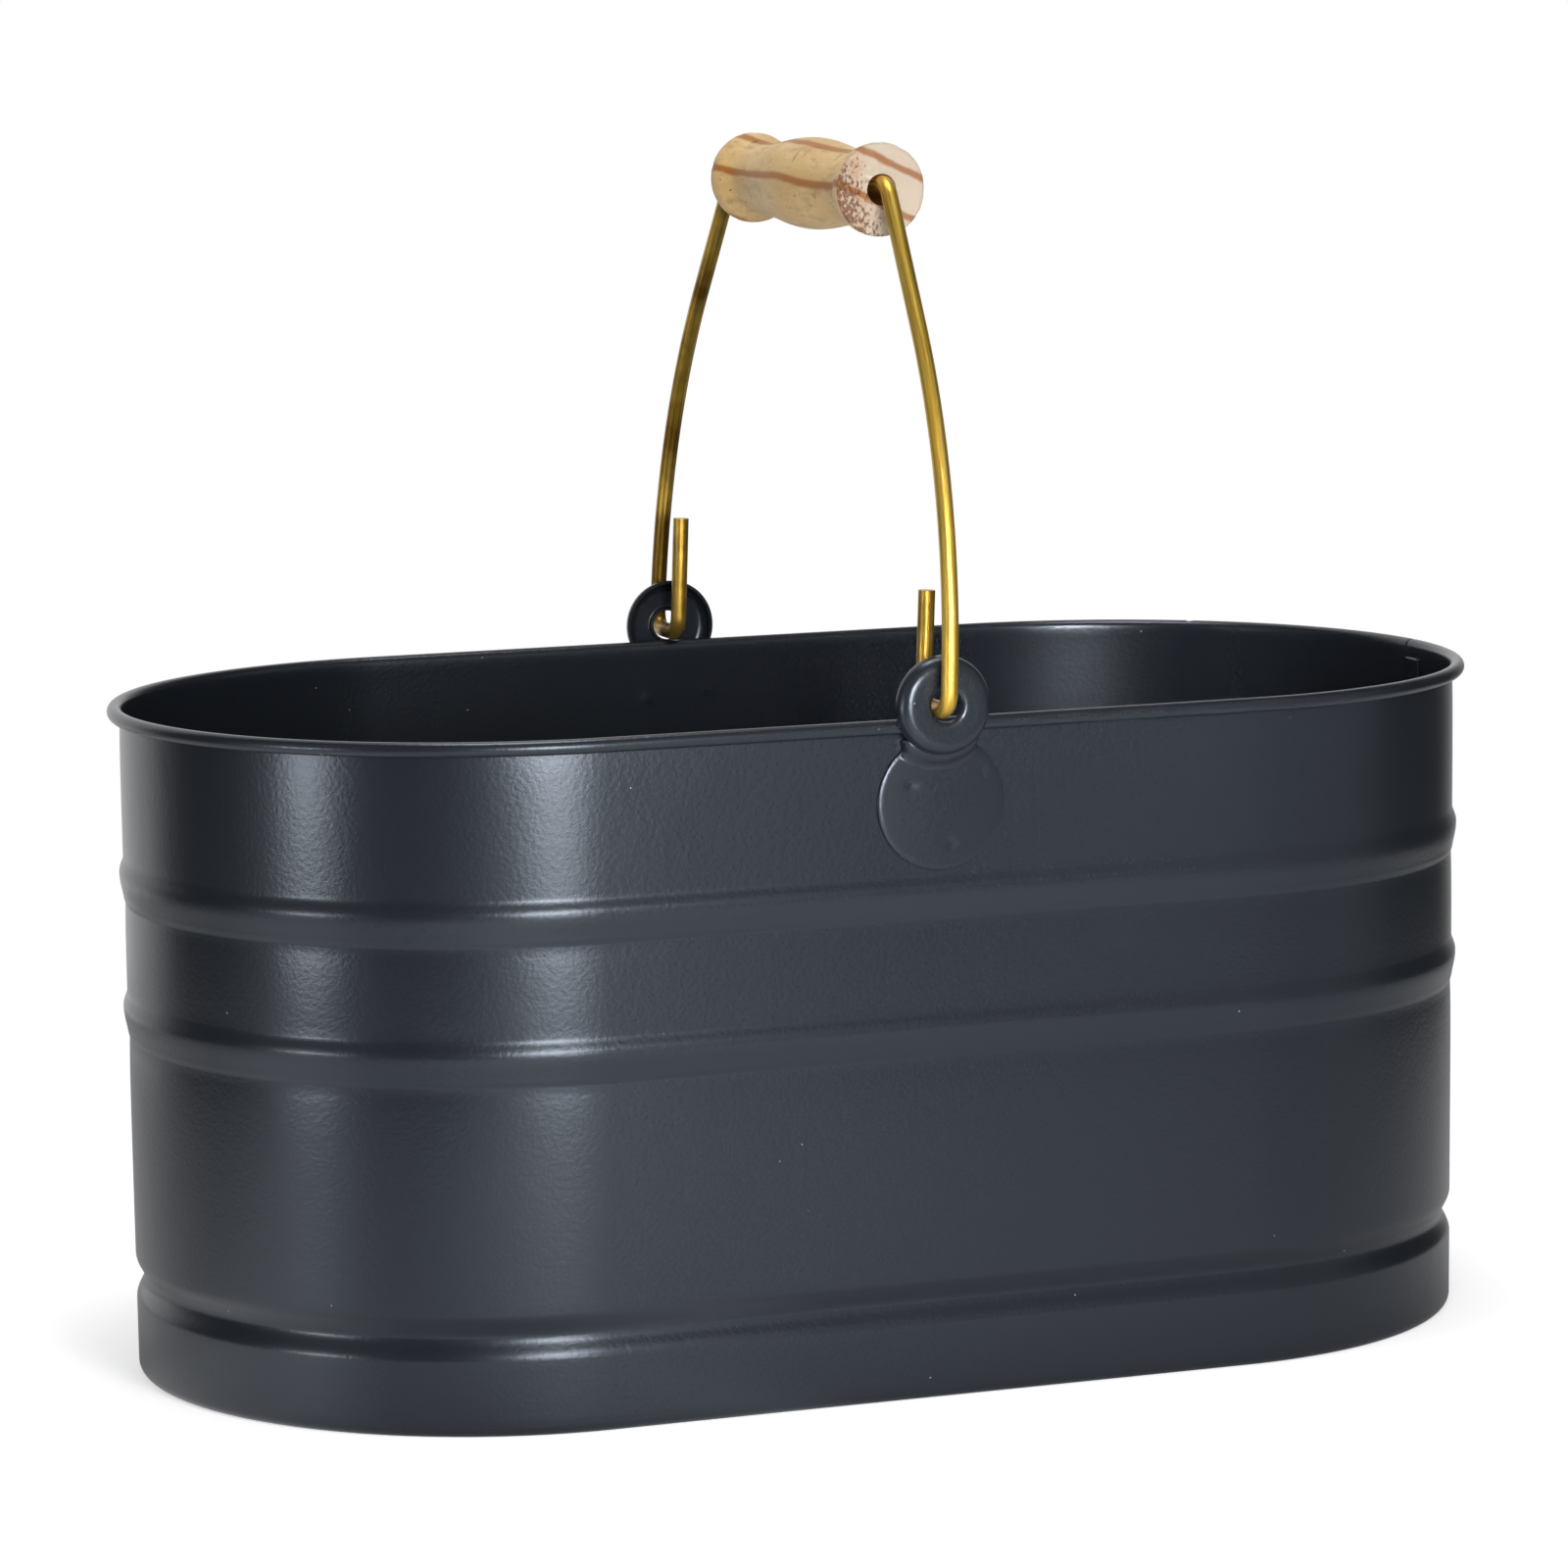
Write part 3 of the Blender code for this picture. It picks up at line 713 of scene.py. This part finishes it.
def sweep(columns, profile, change=None, cyclic=True):
    """Carry a line of (out, height) points along plan columns, as an open sheet."""
    work = bmesh.new()
    grid = []
    for middle, outward, along in columns:
        line = []
        for index, (out, height) in enumerate(profile):
            if change is not None:
                out, height = change(index, middle, outward, along, out, height)
            line.append(work.verts.new(middle + outward * out + Vector((0.0, 0.0, height))))
        grid.append(line)
    skin(work, grid + grid[:1] if cyclic else grid)
    return work, grid


def clinch_places(middle_x, middle_height, facing, shares):
    """(x, height) of an ear's clinch marks on the wall; facing is 1 at the front and -1 at the rear."""
    return [
        (middle_x + facing * EAR_DISC_RADIUS * across, middle_height + EAR_DISC_RADIUS * up)
        for across, up in shares
    ]


def clinch_press(x, height, places):
    """How deep the clinch marks at some places press in a point of a flat sheet."""
    total = 0.0
    for place_x, place_height in places:
        apart = ((x - place_x) ** 2 + (height - place_height) ** 2) / CLINCH_RADIUS ** 2
        total += math.exp(-apart)
    return CLINCH_DEPTH * total


def thicken(made, thickness):
    """Give an open sheet its thickness, half to each side."""
    shell = made.modifiers.new("sheet thickness", "SOLIDIFY")
    shell.thickness = thickness
    shell.offset = 0.0
    shell.use_even_offset = True


def make_tub_wall(material):
    """The rolled, beaded wall with its curl, its foot hem, the clinch marks and the notch at the seam."""
    profile = foot_points((straight_wall(0.0) - HEM_WIDTH, SHEET / 2), straight_wall(0.0), SHEET / 2)
    profile += [(wall_out(height), height) for height in wall_heights()]
    first_curl = len(profile)
    profile += curl_points()
    centre_out, centre_height = curl_centre()
    swing = FRONT_EAR_SHIFT + (RING_HEIGHT - EAR_DISC_HEIGHT) * math.sin(FRONT_EAR_TWIST)
    front = clinch_places(swing, EAR_DISC_HEIGHT, 1, FRONT_CLINCH_SHARES)
    rear = clinch_places(0.0, EAR_DISC_HEIGHT + REAR_EAR_RAISE, -1, REAR_CLINCH_SHARES)

    def press(index, middle, outward, along, out, height):
        """Press the clinch marks into the straight sides and the notch into the rolled rim."""
        if along is None:
            if abs(outward.y) > 1.0 - TOLERANCE:
                out -= clinch_press(middle.x, height, front if outward.y < 0.0 else rear)
        elif index >= first_curl:
            sunk = 1.0 - NOTCH_SHARE * math.exp(-((along - NOTCH_FROM_MIDDLE) / NOTCH_HALF) ** 2)
            out = centre_out + (out - centre_out) * sunk
            height = centre_height + (height - centre_height) * sunk
        return out, height

    work, _ = sweep(oval_columns(), profile, press)
    work.transform(Matrix.Diagonal((KEEP_INSIDE_SHARE, KEEP_INSIDE_SHARE, 1.0, 1.0)))
    made = piece_from(work, "fine_tub_wall", material, "tub", "painted_steel", "tub_wall")
    thicken(made, SHEET)


def make_base_pan(material):
    """The floor pan with its turned-up flange."""
    floor = SHEET + SEAT_GAP + SHEET / 2
    flange = END_RADIUS - WALL_DRAFT - SHEET - SEAT_GAP - SHEET / 2
    profile = foot_points((flange - HEM_WIDTH, floor), flange, floor)
    profile.append((flange, floor + FOOT_RADIUS))
    profile.append((flange, GROOVE[0] - SEAT_GAP))
    work, grid = sweep(oval_columns(), profile)
    work.faces.new([line[0] for line in reversed(grid)])
    made = piece_from(work, "fine_base_pan", material, "tub", "painted_steel", "base_pan")
    thicken(made, SHEET)


def make_lap_seam(material):
    """The overlapped edge of the wall's sheet, a narrow upright strip inside the +X end."""
    inward = (SHEET + LAP_SHEET) / 2
    heights = [height for height in wall_heights() if LAP_BOTTOM < height < LAP_TOP]
    profile = [(wall_out(height) - inward, height) for height in [LAP_BOTTOM] + heights + [LAP_TOP]]
    half = LAP_WIDTH / 2
    places = spaced(-half, half, LAP_WIDTH / LAP_COLUMNS) + [half]
    columns = [turn_column(SIDE_HALF_LENGTH, along / END_RADIUS, along) for along in places]
    work, _ = sweep(columns, profile, cyclic=False)
    made = piece_from(work, "lap_seam", material, "tub", "painted_steel")
    thicken(made, LAP_SHEET)


# Ears

def ring_face_line(inset):
    """One face of the ring's sheet: up the outer wall, over its corner, across and down into the hole."""
    corner = (RING_RADIUS - RING_CORNER_RADIUS, RING_DEPTH - RING_CORNER_RADIUS)
    lip = (RING_HOLE_RADIUS + RING_LIP_RADIUS, RING_DEPTH - RING_LIP_RADIUS)
    points = [(RING_RADIUS - inset, 0.0)]
    points += arc_points(corner, RING_CORNER_RADIUS - inset, 0.0, math.pi / 2, RING_CORNER_STEPS)
    face = RING_DEPTH - inset
    for step in range(1, RING_FACE_STEPS):
        points.append((corner[0] + (lip[0] - corner[0]) * step / RING_FACE_STEPS, face))
    points += arc_points(lip, RING_LIP_RADIUS - inset, math.pi / 2, math.pi / 2, RING_LIP_STEPS)
    return points


def ring_profile():
    """Section of the raised ring: a shallow cap of sheet, open at the back, with a hole in its face."""
    return ring_face_line(0.0) + ring_face_line(RING_SHEET)[::-1]


def turned(profile, steps, closed=True):
    """A bmesh of a profile of (radius, height) points turned once about Z."""
    work = bmesh.new()
    rings = []
    for step in range(steps):
        angle = 2.0 * math.pi * step / steps
        rings.append([
            work.verts.new((radius * math.cos(angle), radius * math.sin(angle), height))
            for radius, height in profile
        ])
    skin(work, rings + rings[:1], closed)
    return work, rings


def disc_bmesh(back, shares):
    """The ear's flat disc with a rounded shoulder and its clinch marks pressed in from the front."""
    front = back + EAR_PLATE
    flat = EAR_DISC_RADIUS - EAR_SHOULDER
    count = round(flat / DISC_RING_STEP)
    profile = [(flat * index / count, front) for index in range(1, count + 1)]
    for step in range(1, SHOULDER_STEPS + 1):
        angle = math.pi / 2 * step / SHOULDER_STEPS
        drop = EAR_SHOULDER_DROP * (1.0 - math.cos(angle))
        profile.append((flat + EAR_SHOULDER * math.sin(angle), front - drop))
    profile.append((EAR_DISC_RADIUS, back))
    work, rings = turned(profile, RING_STEPS, closed=False)
    centre = work.verts.new((0.0, 0.0, front))
    for line, after in zip(rings, rings[1:] + rings[:1]):
        work.faces.new((centre, line[0], after[0]))
    work.faces.new([line[-1] for line in rings])
    places = [(across * EAR_DISC_RADIUS, up * EAR_DISC_RADIUS) for across, up in shares]
    for vert in work.verts:
        if vert.co.z > back + TOLERANCE:
            vert.co.z -= clinch_press(vert.co.x, vert.co.y, places)
            vert.co.z -= EAR_DISC_DOME * vert.co.xy.length_squared / EAR_DISC_RADIUS ** 2
    bmesh.ops.translate(work, verts=work.verts, vec=(0.0, EAR_DISC_HEIGHT - RING_HEIGHT, 0.0))
    bmesh.ops.recalc_face_normals(work, faces=work.faces)
    return work


def neck_half_angle(away):
    """Half the angle that the neck takes round the ring's centre: the disc's, with a fillet at the ring."""
    drop = RING_HEIGHT - EAR_DISC_HEIGHT
    reach = EAR_DISC_RADIUS - NECK_INSET

    def on_disc(distance):
        """Half the angle that the disc takes round the ring's centre, at a distance from it."""
        return math.acos((distance ** 2 + drop ** 2 - reach ** 2) / (2 * distance * drop))

    fillet = math.asin(NECK_WIDTH / 2 / RING_RADIUS) - on_disc(RING_RADIUS)
    return on_disc(away) + fillet * eased(1.0 - (away - RING_RADIUS) / NECK_FILLET_RUN)


def neck_bmesh(back):
    """The sheet's smooth rise from the disc out to the ring, below the rim."""
    plate_front = back + EAR_PLATE
    inside_plate = back + EAR_PLATE / 2
    inner = RING_RADIUS - NECK_TUCK
    outer = RING_RADIUS + NECK_RUN
    work = bmesh.new()
    tops = []
    bottoms = []
    for step in range(NECK_STEPS + 1):
        away = inner + (outer - inner) * step / NECK_STEPS
        rise = eased((outer - away) / (outer - RING_RADIUS))
        half_angle = neck_half_angle(max(away, RING_RADIUS))
        top = []
        bottom = []
        for column in range(NECK_COLUMNS + 1):
            aside = math.sin(math.pi * (column / NECK_COLUMNS - 0.5))
            angle = half_angle * aside - math.pi / 2
            x = away * math.cos(angle)
            y = away * math.sin(angle)
            out = plate_front + (NECK_LIP - plate_front) * rise
            out -= NECK_SIDE_DROP * abs(aside) ** NECK_SIDE_POWER
            top.append(work.verts.new((x, y, max(out, inside_plate + TOLERANCE))))
            bottom.append(work.verts.new((x, y, inside_plate)))
        tops.append(top)
        bottoms.append(bottom)
    skin(work, tops)
    skin(work, bottoms)
    for end in (0, -1):
        skin(work, [tops[end], bottoms[end]])
        skin(work, [[line[end] for line in tops], [line[end] for line in bottoms]])
    bmesh.ops.recalc_face_normals(work, faces=work.faces)
    return work


def make_ear(name, node, place, turn, shares, material):
    """One stamped ear: ring, disc and neck joined into one body and set on the wall."""
    back = straight_wall(CURL_UNDERSIDE) + SHEET / 2 + SEAT_GAP - RING_BACK
    ring_work, _ = turned(ring_profile(), RING_STEPS)
    bmesh.ops.recalc_face_normals(ring_work, faces=ring_work.faces)
    ring = plain_object(ring_work, name + "_ring")
    disc = plain_object(disc_bmesh(back, shares), name + "_disc")
    neck = plain_object(neck_bmesh(back), name + "_neck")
    for tool in (disc, neck):
        union = ring.modifiers.new("join", "BOOLEAN")
        union.operation = "UNION"
        union.solver = "EXACT"
        union.object = tool
    bpy.context.view_layer.update()
    joined = bpy.data.meshes.new_from_object(ring.evaluated_get(bpy.context.evaluated_depsgraph_get()))
    for extra in (ring, disc, neck):
        bpy.data.objects.remove(extra, do_unlink=True)
    work = bmesh.new()
    work.from_mesh(joined)
    work.transform(Matrix.Translation(place) @ turn)
    piece_from(work, name, material, "tub", "painted_steel", node)


def make_ears(material):
    """The front ear, a little turned on the wall, and the rear ear."""
    upright = Matrix.Rotation(math.pi / 2, 4, "X")
    front_turn = upright @ Matrix.Rotation(FRONT_EAR_TWIST, 4, "Z")
    rear_turn = Matrix.Rotation(math.pi, 4, "Z") @ upright
    front = (FRONT_EAR_SHIFT, -RING_BACK, RING_HEIGHT)
    rear = (0.0, RING_BACK, RING_HEIGHT + REAR_EAR_RAISE)
    make_ear("fine_ear_front", "ear_front", front, front_turn, FRONT_CLINCH_SHARES, material)
    make_ear("fine_ear_rear", "ear_rear", rear, rear_turn, REAR_CLINCH_SHARES, material)


# Bail wire

def half_bail_points(stub_height):
    """(distance from the middle, height over the pivot) from a stub's tip up to the bail's top."""
    leg_from_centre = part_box("bail_wire")[1].y - WIRE_RADIUS
    stub_from_centre = END_RADIUS - SHEET - STUB_CLEARANCE - WIRE_RADIUS
    top_half = (GRIP_LENGTH + BAIL_TOP_PLAY) / 2
    bend = HOOK_BEND_RADIUS
    inward = leg_from_centre - top_half
    up = BAIL_HEIGHT - bend
    lean = math.atan2(inward, up) * LEG_TOP_LEAN_SHARE
    bow_radius = (up * math.tan(lean) - inward) / (1.0 / math.cos(lean) - 1.0)
    points = [(stub_from_centre, stub_height)]
    points += arc_points((stub_from_centre + bend, bend), bend, math.pi, math.pi / 2, BEND_STEPS)
    points += arc_points((leg_from_centre - bend, bend), bend, -math.pi / 2, math.pi / 2, BEND_STEPS)
    points += arc_points((leg_from_centre - bow_radius, bend), bow_radius, 0.0, lean, LEG_STEPS)[1:]
    turn = math.pi / 2 - lean
    setback = BAIL_CORNER_RADIUS * math.tan(turn / 2)
    corner = (top_half - setback, BAIL_HEIGHT - BAIL_CORNER_RADIUS)
    points += arc_points(corner, BAIL_CORNER_RADIUS, lean, turn, BEND_STEPS)
    return points


def bail_path():
    """The wire's centreline in its own plane, which leans about the pivot."""
    flat = [(-out, height) for out, height in half_bail_points(FRONT_STUB_HEIGHT)]
    flat += [(out, height) for out, height in reversed(half_bail_points(REAR_STUB_HEIGHT))]
    sideways = math.sin(BAIL_LEAN)
    upright = math.cos(BAIL_LEAN)
    return [pivot + Vector((height * sideways, out, height * upright)) for out, height in flat]


def make_bail_wire(material):
    """A round wire swept along the bail, with the lay of its surface kept for the streaks."""
    path = bail_path()
    across = Vector((math.cos(BAIL_LEAN), 0.0, -math.sin(BAIL_LEAN)))
    work = bmesh.new()
    lay = work.verts.layers.float_vector.new("lay")
    rings = []
    travelled = 0.0
    for index, point in enumerate(path):
        before = path[max(index - 1, 0)]
        after = path[min(index + 1, len(path) - 1)]
        travelled += (point - before).length
        aside = (after - before).normalized().cross(across)
        ring = []
        for step in range(WIRE_STEPS):
            angle = 2.0 * math.pi * step / WIRE_STEPS
            outward = across * math.cos(angle) + aside * math.sin(angle)
            vert = work.verts.new(point + outward * WIRE_RADIUS)
            vert[lay] = Vector((math.cos(angle), math.sin(angle), travelled))
            ring.append(vert)
        rings.append(ring)
    skin(work, rings, closed=True)
    work.faces.new(rings[0][::-1])
    work.faces.new(rings[-1])
    bmesh.ops.recalc_face_normals(work, faces=work.faces)
    piece_from(work, "fine_bail_wire", material, "bail", "antique_brass", "bail_wire")


# Grip

def grip_radius(from_end):
    """Outer radius of the grip: an end land, a cove down to the waist, and a swell to the middle."""
    if from_end < GRIP_END_LAND:
        return GRIP_RADIUS
    if from_end < GRIP_WAIST_FROM_END:
        part = (from_end - GRIP_END_LAND) / (GRIP_WAIST_FROM_END - GRIP_END_LAND)
    else:
        part = (GRIP_LENGTH / 2 - from_end) / (GRIP_LENGTH / 2 - GRIP_WAIST_FROM_END)
    return GRIP_WAIST_RADIUS + (GRIP_RADIUS - GRIP_WAIST_RADIUS) * eased(1.0 - part)


def half_grip_profile():
    """(radius, distance from the middle) from the bore out over the end face and along to the middle."""
    half = GRIP_LENGTH / 2
    face = GRIP_RADIUS - GRIP_EDGE_ROUND
    points = [(radius, half) for radius in spaced(GRIP_BORE_RADIUS, face, GRIP_ROW_STEP / 2)]
    edge = (face, half - GRIP_EDGE_ROUND)
    points += arc_points(edge, GRIP_EDGE_ROUND, math.pi / 2, -math.pi / 2, GRIP_EDGE_STEPS)
    for from_end in spaced(GRIP_EDGE_ROUND, half, GRIP_ROW_STEP)[1:] + [half]:
        points.append((grip_radius(from_end), half - from_end))
    return points


def roughen_end(co):
    """Pits and chips of the sawn end: a small move inwards of a point of the turned grip."""
    half = GRIP_LENGTH / 2
    radius = math.hypot(co.x, co.y)
    depth = half - abs(co.z)
    if depth < TOLERANCE and radius > GRIP_BORE_RADIUS + TOLERANCE:
        torn = 0.5 - co.x / GRIP_RADIUS / 2
        pits = max(0.0, noise.fractal(co * END_PIT_SCALE, *END_PIT_FRACTAL)) * END_PIT_DEPTH * torn
        co.z -= math.copysign(pits, co.z)
    if depth < EDGE_CHIP_REACH and radius > GRIP_RADIUS - EDGE_CHIP_REACH:
        flat = Vector((co.x, co.y, half * (co.z > 0.0)))
        chip = max(0.0, noise.noise(flat * EDGE_CHIP_SCALE) - EDGE_CHIP_START) * EDGE_CHIP_DEPTH
        share = 1.0 - chip / radius
        co.x *= share
        co.y *= share


def make_grip(side_material, end_material):
    """The turned grip with its bore, fine cove and swell, and rough end faces."""
    upper = half_grip_profile()
    profile = upper + [(radius, -height) for radius, height in reversed(upper[:-1])]
    work, _ = turned(profile, GRIP_STEPS)
    half = GRIP_LENGTH / 2
    for face in work.faces:
        if half - abs(face.calc_center_median().z) < GRIP_EDGE_ROUND:
            face.material_index = 1
    for vert in work.verts:
        roughen_end(vert.co)
    bmesh.ops.recalc_face_normals(work, faces=work.faces)
    work.transform(Matrix.Translation(grip_middle) @ Matrix.Rotation(math.pi / 2, 4, "X"))
    made = piece_from(work, "fine_wooden_grip", side_material, "grip", "pine", "wooden_grip")
    made.data.materials.append(end_material)


# Table

TABLE_RADIUS = 0.75
TABLE_FADE_SHARE = 0.72
TABLE_ROUGHNESS = 0.9
TABLE_COLOUR = (0.86, 0.86, 0.87)
TABLE_GLOW = 0.59

# Painted pools of light for shiny faces, by degrees round the bucket: 0 in front, 90 at its +X end
TABLE_PAINTED_POOLS = (
    (-180.0, 0.0), (-100.0, 0.08), (-84.0, 0.62), (-72.0, 0.66), (-60.0, 0.05), (-50.0, 0.0),
    (-38.0, 0.24), (-24.0, 0.46), (-10.0, 0.05), (10.0, 0.0), (180.0, 0.0),
)


def azimuth(tree, vector):
    """Angle of a place or a direction round the bucket, in radians: 0 in front, growing towards +X."""
    parts = tree.split(vector)
    return tree.maths("ARCTAN2", parts["X"], tree.maths("MULTIPLY", parts["Y"], -1.0))


def angle_ramp(tree, angle, half_range, stops):
    """A ramp of brightness over an angle that runs from minus to plus half_range; stops are in degrees."""
    share = tree.maths("MULTIPLY_ADD", angle, 0.5 / half_range, 0.5)
    return tree.ramp(share, [(0.5 + math.radians(place) / (2 * half_range), grey) for place, grey in stops])


def white_table():
    """White that keeps the bucket's shadow and fades out, with painted pools of light for shiny faces only.
    """
    material, tree, shader, place = new_material("white table", TABLE_ROUGHNESS)
    tree.fill(shader, {"Base Color": TABLE_COLOUR})
    path = tree.add("LightPath")
    # Painted pools of light: brightness set by place round the bucket, for glossy rays only
    pools = angle_ramp(tree, azimuth(tree, place), math.pi, TABLE_PAINTED_POOLS)
    pools = tree.maths("MULTIPLY", path.outputs["Is Glossy Ray"], pools)
    glow = tree.add("Emission")
    tree.fill(glow, {
        "Strength": tree.maths("MULTIPLY_ADD", path.outputs["Is Camera Ray"], TABLE_GLOW, pools),
    })
    lit = tree.add("AddShader")
    tree.fill(lit, {0: shader.outputs[0], 1: glow.outputs[0]})
    away = tree.maths("DIVIDE", tree.vector("LENGTH", place), TABLE_RADIUS)
    gone = tree.fade(away, (TABLE_FADE_SHARE, 1.0), 0.0, 1.0)
    clear = tree.add("BsdfTransparent")
    blend = tree.add("MixShader")
    tree.fill(blend, {0: gone, 1: lit.outputs[0], 2: clear.outputs[0]})
    tree.join(blend.outputs[0], tree.nodes["Material Output"].inputs["Surface"])
    return material


def make_floor():
    """A round white table under the bucket, whose edge doesn't show."""
    work = bmesh.new()
    bmesh.ops.create_circle(work, cap_ends=True, segments=RING_STEPS, radius=TABLE_RADIUS)
    floor = plain_object(work, "floor")
    floor.data.materials.append(white_table())


# Room; ROOM_ROUND and BACKDROP_ROUND as for the table, ROOM_UP by degrees over the horizon

ROOM_STRENGTH = 2.0
ROOM_ROUND = (
    (-180.0, 0.30), (-150.0, 0.28), (-128.0, 0.02), (-104.0, 0.06), (-84.0, 0.26), (-64.0, 0.13),
    (-45.0, 0.03), (-26.0, 0.10), (-12.0, 0.38), (8.0, 0.41), (22.0, 0.20), (40.0, 0.18), (62.0, 0.21),
    (84.0, 0.02), (124.0, 0.03), (148.0, 0.38), (180.0, 0.30),
)
ROOM_UP = ((-90.0, 0.95), (0.0, 0.95), (28.0, 1.0), (50.0, 0.85), (64.0, 0.05), (90.0, 0.03))
BACKDROP_ROUND = ((-180.0, 1.0), (-150.0, 1.0), (-132.0, 0.0), (132.0, 0.0), (150.0, 1.0), (180.0, 1.0))


def make_world():
    """A plain studio: a white backdrop behind the bucket, a soft front, dim sides and a dark ceiling."""
    world = bpy.data.worlds.new("studio")
    bpy.context.scene.world = world
    tree = Tree(world)
    direction = tree.add("TexCoord").outputs["Generated"]
    turn = azimuth(tree, direction)
    rise = tree.maths("ARCSINE", tree.split(direction)["Z"])
    around = angle_ramp(tree, turn, math.pi, ROOM_ROUND)
    room = tree.vector("MULTIPLY", around, angle_ramp(tree, rise, math.pi / 2, ROOM_UP))
    room = tree.vector("MULTIPLY", room, (ROOM_STRENGTH,) * 3)
    backdrop = tree.vector("MAXIMUM", room, angle_ramp(tree, turn, math.pi, BACKDROP_ROUND))
    path = tree.add("LightPath")
    mirrored = tree.maths("MAXIMUM", path.outputs["Is Glossy Ray"], path.outputs["Is Transmission Ray"])
    seen = tree.mix(mirrored, room, backdrop)
    seen = tree.mix(path.outputs["Is Camera Ray"], seen, WHITE)
    tree.join(seen, tree.nodes["Background"].inputs["Color"])


# Lamps: name, place, point faced, width, height, power in watts and spread in degrees

LAMPS = (
    ("front lamp", (-0.12, -0.79, 0.25), (-0.02, -0.10, 0.12), 0.20, 0.22, 2.0, 180.0),
    ("near front lamp", (-0.075, -0.48, 0.235), (-0.05, -0.10, 0.12), 0.14, 0.14, 0.78, 180.0),
    ("front low lamp", (-0.06, -0.80, 0.075), (-0.05, -0.10, 0.07), 0.20, 0.13, 0.9, 180.0),
    ("left lamp", (-1.12, -0.33, 0.21), (-0.15, 0.0, 0.10), 0.30, 0.34, 0.6, 180.0),
    ("left low lamp", (-1.12, -0.31, 0.075), (-0.15, 0.0, 0.06), 0.22, 0.13, 1.4, 180.0),
    ("top lamp", (0.0, 0.0, 1.20), (0.0, 0.0, 0.10), 0.45, 0.45, 5.6, 180.0),
    ("inside beam", (-0.10, -0.80, 0.36), (0.115, 0.09, 0.165), 0.14, 0.14, 0.06, 14.0),
)


def make_lamps():
    """Soft rectangular lamps in front, at the left and above, and a narrow beam into the tub."""
    for name, place, aim, width, height, power, spread in LAMPS:
        data = bpy.data.lights.new(name, "AREA")
        data.shape = "RECTANGLE"
        data.size = width
        data.size_y = height
        data.energy = power
        data.spread = math.radians(spread)
        lamp = in_scene(name, data)
        lamp.location = place
        lamp.rotation_euler = (Vector(aim) - Vector(place)).to_track_quat("-Z", "Y").to_euler()
        lamp.visible_camera = False


# Camera and assembly

def make_camera():
    """A camera at the photograph's place, with its long lens and its slight roll."""
    back = Vector((
        math.sin(CAMERA_AZIMUTH) * math.cos(CAMERA_ELEVATION),
        -math.cos(CAMERA_AZIMUTH) * math.cos(CAMERA_ELEVATION),
        math.sin(CAMERA_ELEVATION),
    ))
    level = (-back).cross(Vector((0.0, 0.0, 1.0))).normalized()
    upright = level.cross(-back)
    right = level * math.cos(CAMERA_ROLL) + upright * math.sin(CAMERA_ROLL)
    up = upright * math.cos(CAMERA_ROLL) - level * math.sin(CAMERA_ROLL)
    data = bpy.data.cameras.new("camera")
    data.lens = LENS_MM
    data.sensor_width = SENSOR_MM
    camera = in_scene("camera", data)
    turn = Matrix((right, up, back)).transposed().to_4x4()
    place = right * AIM_RIGHT + up * AIM_UP + back * CAMERA_DISTANCE
    camera.matrix_world = Matrix.Translation(place) @ turn
    bpy.context.scene.camera = camera


def dress():
    """Every piece in its material; the rim wire keeps its CAD mesh, as the curl hides it."""
    coat = powder_coat()
    make_tub_wall(coat)
    make_base_pan(coat)
    make_lap_seam(coat)
    make_ears(coat)
    frame["nodes"]["rim_wire"].data.materials[0] = bright_wire()
    make_bail_wire(antique_brass())
    make_grip(pine_side(), pine_end())


make_camera()
make_floor()
make_world()
make_lamps()
dress()

bpy.context.scene.view_settings.view_transform = "Standard"
